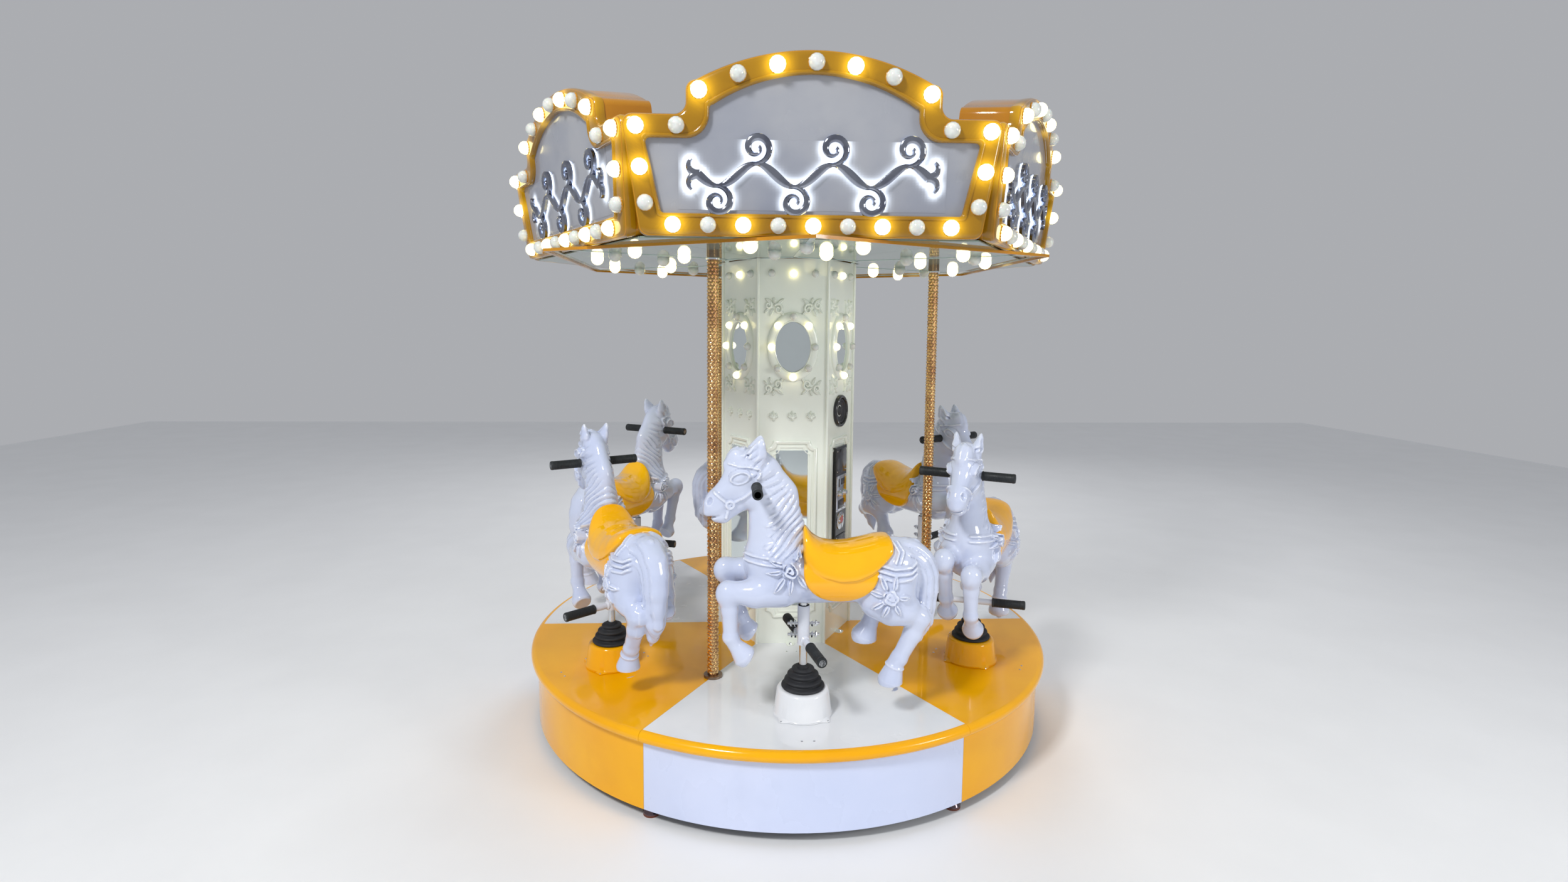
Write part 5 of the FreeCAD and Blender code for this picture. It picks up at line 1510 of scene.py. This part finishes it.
def modelHead(clay):
    clay.limb((-150, 0, 762), (-196, 0, 764), 50, 47, blend=18, flat=0.8)      # skull
    clay.eggs((-165, 16, 706), (50, 30, 52), blend=14)                         # cheeks
    clay.limb((-190, 0, 745), (-262, 0, 672), 50, 37, blend=16, flat=0.78)     # nose
    clay.limb((-262, 0, 668), (-272, 0, 656), 39, 37, blend=14, flat=0.86)     # muzzle
    clay.limb((-205, 0, 668), (-250, 0, 630), 30, 24, blend=14, flat=0.9)      # jaw
    clay.limb((-250, 0, 628), (-268, 0, 624), 22, 17, blend=8, flat=1.15)      # chin
    clay.eggs((-282, 15, 668), (16, 14, 22), blend=8, turn=-15)                # nose wings
    clay.limb((-262, 0, 660), (-294, 0, 640), 24, 15, blend=8, flat=1.3)       # upper lip
    for side in (-1, 1):                                                       # mouth and nostrils
        clay.limb((-305, side * 12, 622), (-246, side * 34, 634), 3.2, 2.4, blend=4, take=True)
        clay.egg((-291, side * 26, 678), (9, 10, 12), blend=4, turn=-20, take=True)
    clay.limb((-312, 0, 620), (-262, 0, 630), 3.5, 3.5, blend=4, flat=5.0, take=True)
    clay.eggs((-198, 29, 756), (34, 19, 22), blend=10, turn=14)                # brow
    clay.eggs((-199, 37, 750), (22, 14, 14), blend=2.5, turn=14)               # eyeball
    clay.limb((-150, 0, 800), (-205, 0, 806), 33, 29, blend=16, flat=0.9)      # forelock
    clay.limb((-205, 0, 806), (-234, 0, 786), 28, 14, blend=14, flat=1.0)
    for side in (-1, 1):                                                       # ears, scooped in front
        clay.limb((-156, side * 28, 786), (-146, side * 37, 824), 21, 25, blend=8, flat=0.56)
        clay.limb((-146, side * 37, 824), (-138, side * 41, 852), 25, 13, blend=6, flat=0.56)
        clay.limb((-138, side * 41, 852), (-135, side * 42, 863), 13, 4, blend=6, flat=0.7)
        clay.egg((-158, side * 51, 826), (12, 9, 29), blend=5, turn=-14, take=True)


def modelLegs(clay):
    for side, rise, shift in ((-1, 0, 0), (1, 46, 8)):                         # forelegs, both folded
        y = 46 * side
        knee = (-232 - shift, y, 402 + rise)
        clay.limb((-70, 40 * side, 410 + rise * 0.6), (-150, y, 398 + rise), 50, 40, blend=22)
        clay.limb((-150, y, 398 + rise), knee, 40, 32, blend=12)
        clay.egg((-238 - shift, y, 394 + rise), (30, 27, 37), blend=20)
        if side < 0:
            fetlock, pastern, toe = (-226, y, 262), (-212, y, 236), (-186, y, 204)
        else:
            fetlock, pastern, toe = (-196, y, 300), (-184, y, 276), (-172, y, 250)
        middle = tuple(a * 0.6 + b * 0.4 for a, b in zip(knee, fetlock))
        clay.limb(knee, middle, 31, 25)
        clay.limb(middle, fetlock, 25, 22)
        clay.limb(fetlock, pastern, 26, 21, blend=6)
        clay.limb(pastern, toe, 22, 36, blend=5)
        clay.egg((toe[0] + 36, y, toe[2] - 10), (17, 48, 62), blend=2.5, turn=-38, take=True)
    for side in (-1, 1):                                                       # hind legs
        y = 48 * side
        clay.limb((262, 40 * side, 400), (300, y, 348), 66, 50, blend=18)
        clay.limb((225, 40 * side, 372), (262, y, 345), 58, 48, blend=18)
        clay.limb((300, y, 345), (352, y, 316), 44, 30, blend=14)
        if side < 0:
            clay.limb((348, y, 318), (332, y, 268), 36, 28, blend=12)
            clay.limb((332, y, 268), (292, y, 190), 28, 24, blend=10)
            clay.limb((292, y, 190), (278, y, 170), 27, 25, blend=6)
            clay.limb((277, y, 160), (266, y, 122), 28, 39, blend=4)
            clay.egg((240, y, 92), (66, 56, 17), blend=2.5, turn=16, take=True)
        else:
            clay.limb((250, y, 330), (226, y, 292), 40, 27, blend=10)
            clay.limb((226, y, 292), (216, y, 268), 26, 27, blend=6)
            clay.limb((214, y, 260), (200, y, 226), 28, 42, blend=4)
            clay.egg((176, y, 194), (64, 54, 17), blend=2.5, turn=12, take=True)


def modelTail(clay):
    # (x, height, radius) along the dock and the fall of the hair
    bends = [(288, 516, 34), (328, 508, 42), (356, 480, 45), (371, 440, 43), (375, 396, 40),
             (372, 344, 36), (368, 290, 33)]
    for (x, z, radius), (nextX, nextZ, nextRadius) in zip(bends, bends[1:]):
        clay.limb((x, 0, z), (nextX, 0, nextZ), radius, nextRadius, blend=14, flat=0.9)
    clay.limb((368, 0, 290), (352, 0, 240), 33, 20, blend=10, flat=0.9)
    clay.limb((352, 0, 240), (338, 0, 206), 20, 5, blend=8, flat=0.9)


def strands(phase):
    # locks of hair: rounded ridges with sharp valleys, and finer ones on them
    coarse = np.abs(np.sin(phase * 0.5)) ** 0.6
    fine = np.abs(np.sin(phase * 1.5 + 0.7)) ** 0.7
    return coarse * 0.8 + fine * 0.2 - 0.55


def carveHair(clay):
    def mane(x, y, z):
        crest = np.interp(z, [470, 520, 600, 680, 740, 800, 830], [-5, -8, -12, -44, -84, -140, -165])
        root = crest - x                                   # how far in front of the crest
        wide = np.interp(z, [470, 540, 620, 700, 780, 820], [92, 118, 96, 70, 54, 40])
        ragged = wide + 13 * np.sin(z * 0.21) + 7 * np.sin(z * 0.083 + 1.2)
        zone = ease(root, -30, 6) * (1 - ease(root, ragged - 20, ragged)) * ease(z, 474, 516)
        slope = z - 0.80 * x + 12 * np.sin(x * 0.034 - z * 0.012) + 5 * np.sin(z * 0.061)
        return zone * 6.6 * strands(slope / 14.5 * math.pi)

    def forelock(x, y, z):
        zone = ease(z, 780, 808) * ease(-x, 150, 180) * (1 - ease(np.abs(y), 18, 26))
        return zone * 2.0 * strands((y + 0.3 * (x + 200)) / 9.0 * math.pi)

    def tail(x, y, z):
        radius = np.hypot(x - 286, z - 424)
        upper = ease(radius, 70, 84) * ease(x, 292, 318) * ease(z, 400, 424)
        lower = ease(x, 338, 350) * (1 - ease(z, 398, 424)) * ease(z, 206, 240)
        lines = np.where(z > 424, radius, x - 286 + 0.04 * (424 - z))
        return (upper + lower) * 5.0 * strands(lines / 11.5 * math.pi)

    clay.lift(mane, (-260, -100, 470), (30, 100, 850))
    clay.lift(forelock, (-260, -60, 770), (-150, 60, 850))
    clay.lift(tail, (280, -60, 200), (425, 60, 570))


def flower(x, z, centre, size):
    # rose with curling petals
    dx, dz = (x - centre[0]) / size, (z - centre[1]) / size
    r = np.sqrt(dx * dx + dz * dz) + 1e-6
    turn = np.arctan2(dz, dx)
    rim = 0.86 + 0.12 * np.cos(turn * 5)
    swirl = np.abs(np.sin(r * 6.0 - turn * 0.5 + 0.5 * np.sin(turn * 2.5)))
    return (1 - ease(r, rim, rim + 0.14)) * (0.35 + 0.9 * swirl) * (1.3 - 0.4 * r)


def leaf(x, z, root, tip, width):
    # pointed leaf with a sunk middle rib
    ax, az = root
    lx, lz = tip[0] - ax, tip[1] - az
    length = math.hypot(lx, lz)
    u = ((x - ax) * lx + (z - az) * lz) / length ** 2
    v = (-(x - ax) * lz + (z - az) * lx) / length
    half = width * np.sqrt(np.clip(np.sin(np.clip(u, 0, 1) * math.pi), 0, 1)) * (1.2 - 0.6 * u)
    inside = ease(half - np.abs(v), -0.5, 4.0) * (u > 0) * (u < 1)
    return inside * (1.0 - 0.5 * np.exp(-(v / 2.4) ** 2))


def strap(x, z, points, half, high):
    return high * ease(half - lineGap(x, z, points), 0, 3.5)


def carveTrim(clay):
    def shoulder(x, y, z):
        high = 8.5 * flower(x, z, (-50, 482), 26)
        for root, tip, width in (((-66, 462), (-100, 412), 12), ((-46, 458), (-52, 404), 11),
                                 ((-28, 466), (4, 420), 12), ((-34, 502), (-14, 546), 11),
                                 ((-68, 498), (-116, 512), 11), ((-72, 480), (-126, 470), 10)):
            high = np.maximum(high, 7.5 * leaf(x, z, root, tip, width))
        for line in (((-186, 520), (-120, 516), (-74, 506)), ((-188, 502), (-120, 496), (-74, 494)),
                     ((-22, 506), (2, 560))):
            high = np.maximum(high, strap(x, z, line, 6, 4.0))
        return high * ease(np.abs(y), 18, 30)

    def hip(x, y, z):
        high = 8.5 * flower(x, z, (248, 400), 26)
        for root, tip, width in (((236, 422), (218, 470), 12), ((258, 424), (268, 470), 11),
                                 ((228, 406), (180, 418), 11), ((228, 388), (190, 362), 12),
                                 ((244, 378), (226, 334), 11), ((262, 380), (282, 342), 11),
                                 ((272, 402), (314, 396), 10)):
            high = np.maximum(high, 7.5 * leaf(x, z, root, tip, width))
        for rise in (0, 17, 34):
            line = ((214, 462 + rise), (262, 450 + rise), (318, 452 + rise), (334, 462 + rise))
            high = np.maximum(high, strap(x, z, line, 6.5, 4.5))
        for shift in (0, 15):
            line = ((266 + shift, 500), (280 + shift, 530), (264 + shift, 556))
            high = np.maximum(high, strap(x, z, line, 5.5, 3.6))
        return high * ease(np.abs(y), 22, 36)

    def bridle(x, y, z):
        high = 0
        for line, half, up in ((((-276, 704), (-240, 676), (-230, 664), (-240, 626)), 6.5, 5.0),
                               (((-228, 668), (-190, 690), (-158, 716), (-138, 772)), 6.5, 5.0),
                               (((-234, 792), (-206, 786), (-176, 784), (-140, 778)), 5, 3.6)):
            high = np.maximum(high, strap(x, z, line, half, up))
        ring = np.hypot(x + 228, z - 667)
        high = np.maximum(high, 6.5 * ease(1 - np.abs(ring - 11) / 7, 0, 0.7))
        return high * ease(np.abs(y), 8, 16)

    def lids(x, y, z):
        c, s = math.cos(math.radians(14)), math.sin(math.radians(14))
        u, w = (x + 199) * c + (z - 750) * s, -(x + 199) * s + (z - 750) * c
        ring = np.sqrt((u / 27) ** 2 + (w / 16) ** 2)
        upper = np.exp(-((ring - 1.06) / 0.15) ** 2) * ease(w, -10, 4) * 6.0
        lower = np.exp(-((ring - 1.04) / 0.14) ** 2) * ease(-w, -6, 6) * 3.6
        crease = np.sqrt((u / 37) ** 2 + ((w - 3) / 26) ** 2)
        sunk = np.exp(-((crease - 0.93) / 0.07) ** 2) * ease(w, 0, 8) * 3.0
        return (upper + lower - sunk) * ease(np.abs(y), 20, 28)

    def coronet(x, y, z):
        return np.exp(-((z - 166 + 0.3 * (x - 278)) / 4.5) ** 2) * 3.4 * (y < 0)

    clay.lift(shoulder, (-200, -112, 396), (14, 112, 566))
    clay.lift(hip, (176, -116, 328), (342, 116, 566))
    clay.lift(bridle, (-290, -60, 610), (-120, 60, 800))
    clay.lift(lids, (-240, -60, 716), (-158, 60, 776))
    clay.lift(coronet, (240, -90, 140), (330, -10, 178))


def modelSaddle():
    # a thick roll along the back, turned up at the pommel, over a rounded flap on each side
    clay = Clay((-26, -124, 364), (286, 124, 616), horseSettings["saddleCell"])
    x, y, z = clay.axes([slice(0, count) for count in clay.counts])
    top = smoothLine([(-26, 608), (4, 597), (22, 570), (50, 551), (90, 544), (130, 546), (180, 556),
                      (220, 566), (248, 568), (286, 558)], x)
    seam = smoothLine([(-26, 512), (0, 494), (20, 480), (50, 464), (100, 452), (150, 456), (195, 474),
                       (230, 500), (262, 532), (286, 548)], x)
    wide = smoothLine([(-26, 62), (0, 80), (20, 92), (60, 101), (110, 106), (160, 106), (210, 100),
                       (245, 88), (286, 62)], x)
    rise = np.maximum(top - seam, 12)
    up = np.where(z > seam, (z - seam) / rise, (seam - z) / 15)
    bulge = ((np.abs(y) / wide) ** 2.5 + up ** 2.1) ** (1 / 2.3)
    ends = np.clip(np.maximum(-9 - x, x - 265) / 16 + 1, 0, None)
    whole = (bulge ** 5 + ends ** 5) ** 0.2 - 1
    steep = np.sqrt(sum(g * g for g in np.gradient(whole, clay.cell)))
    roll = whole / np.maximum(steep, 1e-3)
    barrel = (np.sqrt((y / 97) ** 2 + ((z - 440) / 96) ** 2) - 1) * 94
    outline = (np.sqrt(((x - 104) / 113) ** 2 + ((z - 474) / 97) ** 2) - 1) * 88
    mix = np.clip(0.5 - 0.5 * (barrel - outline) / 7, 0, 1)
    flap = barrel + (outline - barrel) * mix + 7 * mix * (1 - mix)
    mix = np.clip(0.5 + 0.5 * (flap - roll) / 4, 0, 1)
    clay.values[:] = flap * (1 - mix) + roll * mix - 4 * mix * (1 - mix)
    return clay


def gripShape(length):
    # ribbed rubber grip with a round end cap
    radius = horseSettings["gripRadius"]
    pitch = horseSettings["ribPitch"]
    profile = [(0.0, 0.0), (radius * 0.86, 0.0), (radius * 1.02, 0.0015), (radius * 1.04, 0.005),
               (radius * 0.96, 0.0065)]
    for rib in range(int((length - 0.022) / pitch)):
        low = 0.008 + rib * pitch
        profile += [(radius * 0.93, low), (radius * 0.93, low + 0.0010), (radius * 0.985, low + 0.0016),
                    (radius * 0.985, low + 0.0042)]
    profile += [(radius * 0.95, length - 0.012), (radius, length - 0.010), (radius, length - 0.004),
                (radius * 0.92, length - 0.001), (radius * 0.7, length), (0.0, length)]
    return skin([circleRow(r, h, 28) for r, h in profile], True, False, True)


def clampShapes():
    # lacquered sleeve on the rod with the two footrest arms, and the arms' centre and direction
    s = horseSettings
    rod = Matrix.Translation((0, -horseCircle, deckTop))
    low, high = s["sleeve"]
    sleeve = lathe([(0.0128, low), (0.0185, low), (0.0192, low + 0.0015), (0.0192, high - 0.0015),
                    (0.0185, high), (0.0128, high)], 40)
    arms = [moved(sleeve, rod)]
    way = Vector(s["footWay"]).normalized()
    centre = rod @ Vector((0, 0, s["footrest"] * 0.001))
    for side in (-1, 1):
        profile = [(0.0, 0.0), (0.0150, 0.010), (0.0150, 0.019), (0.0128, 0.0215), (0.0106, 0.0235),
                   (0.0106, s["footReach"] - 0.004), (0.0, s["footReach"] - 0.004)]
        rows = [circleRow(r, h, 24) for r, h in profile]
        arms.append(moved(skin(rows, True, False, True), along(centre, centre + way * side)))
    return arms, centre, way


def makeHorses():
    s = horseSettings
    clay = Clay(s["low"], s["high"], s["cell"])
    for step in (modelBody, modelHead, modelLegs, modelTail, carveHair, carveTrim):
        step(clay)
    body = clay.mesh("horse", s["keep"])
    saddle = modelSaddle().mesh("saddle", s["saddleKeep"])
    print("horse clay ready,", len(body.polygons), "and", len(saddle.polygons), "faces")
    arms, centre, way = clampShapes()
    grips = []
    for side in (-1, 1):
        start = centre + way * side * (s["footReach"] - s["footGrip"])
        grips.append(moved(gripShape(s["footGrip"]), along(start, centre + way * side)))
    barPlace = Vector((s["handlebar"][0] * 0.001, -horseCircle, deckTop + s["handlebar"][1] * 0.001))
    for side in (-1, 1):
        start = barPlace + Vector((0, side * (s["barReach"] - s["gripLength"]), 0))
        grips.append(moved(gripShape(s["gripLength"]), along(start, start + Vector((0, side, 0)))))
    boltHead = solidLathe([(0.0105, 0.0), (0.0105, 0.0052), (0.0095, 0.0066)], 6)
    stud = solidLathe([(0.0045, 0.0), (0.0045, 0.030), (0.0035, 0.031)], 16)
    bolts = []
    for height in s["boltHeights"]:
        for side in (-1, 1):
            base = Vector((side * 0.0188, -horseCircle, deckTop + height))
            place = along(base, base + Vector((side, 0, 0)))
            bolts.append(moved(stud, place))
            for lift, share in ((0.004, 1), (0.016, 0.9)):       # head and lock nut
                rest = Matrix.Translation((0, 0, lift)) @ Matrix.Diagonal((share, share, 1, 1))
                bolts.append(moved(boltHead, place @ rest))
    for number, turn in enumerate(sectorTurns, start=1):
        lower = lowDrop if number % 2 == 0 else 0
        place = Matrix.Translation((0, 0, -lower)) @ Matrix.Rotation(math.radians(turn + 90), 4, "Z")
        owner = "horse_%d" % number
        for name, source, material, slot in (("body", body, "horseWhite", "horse_white"),
                                             ("seat", saddle, "saddleYellow", "saddle_yellow")):
            mesh = source.copy()
            mesh.transform(place)
            node = owner + ("_shell" if name == "body" else "_saddle")
            finishPiece("%s_%s" % (owner, name), mesh, material, (node,), 70, owner)
        for name, shapes, material, slot, replaced, crease in (
                ("_arms", arms, "armWhite", "chrome", (), 40),
                ("_handgrips", grips, "gripRubber", "grip_rubber", (owner + "_grips",), 50),
                ("_bolts", bolts, "chrome", "chrome", (), 30)):
            shapes = [turned(shape, turn + 90, lower) for shape in shapes]
            makePiece(owner + name, shapes, material, replaced, crease, owner)


makeHorses()
print("horses ready")


# floor

def makeFloor(settings):
    half = settings["floorHalf"]
    mesh = bpy.data.meshes.new("studio_floor")
    corners = [(-half, -half, 0), (half, -half, 0), (half, half, 0), (-half, half, 0)]
    mesh.from_pydata(corners, [], [(0, 1, 2, 3)])
    material, tree, shader = newMaterial("floor_paper")
    shade = spread(tree, noiseAt(tree, 3.0, 4), 0.3, 0.7)
    colour = settings["floorColour"]
    paper = blendColours(tree, shade, colour, [c * 0.97 for c in colour])
    tree.links.new(paper, shader.inputs["Base Color"])
    tree.links.new(spread(tree, noiseAt(tree, 40.0, 2), 0.3, 0.7, 0.5, 0.7), shader.inputs["Roughness"])
    mesh.materials.append(material)
    floor = bpy.data.objects.new("studio_floor", mesh)
    bpy.context.scene.collection.objects.link(floor)


makeFloor(studioSettings)
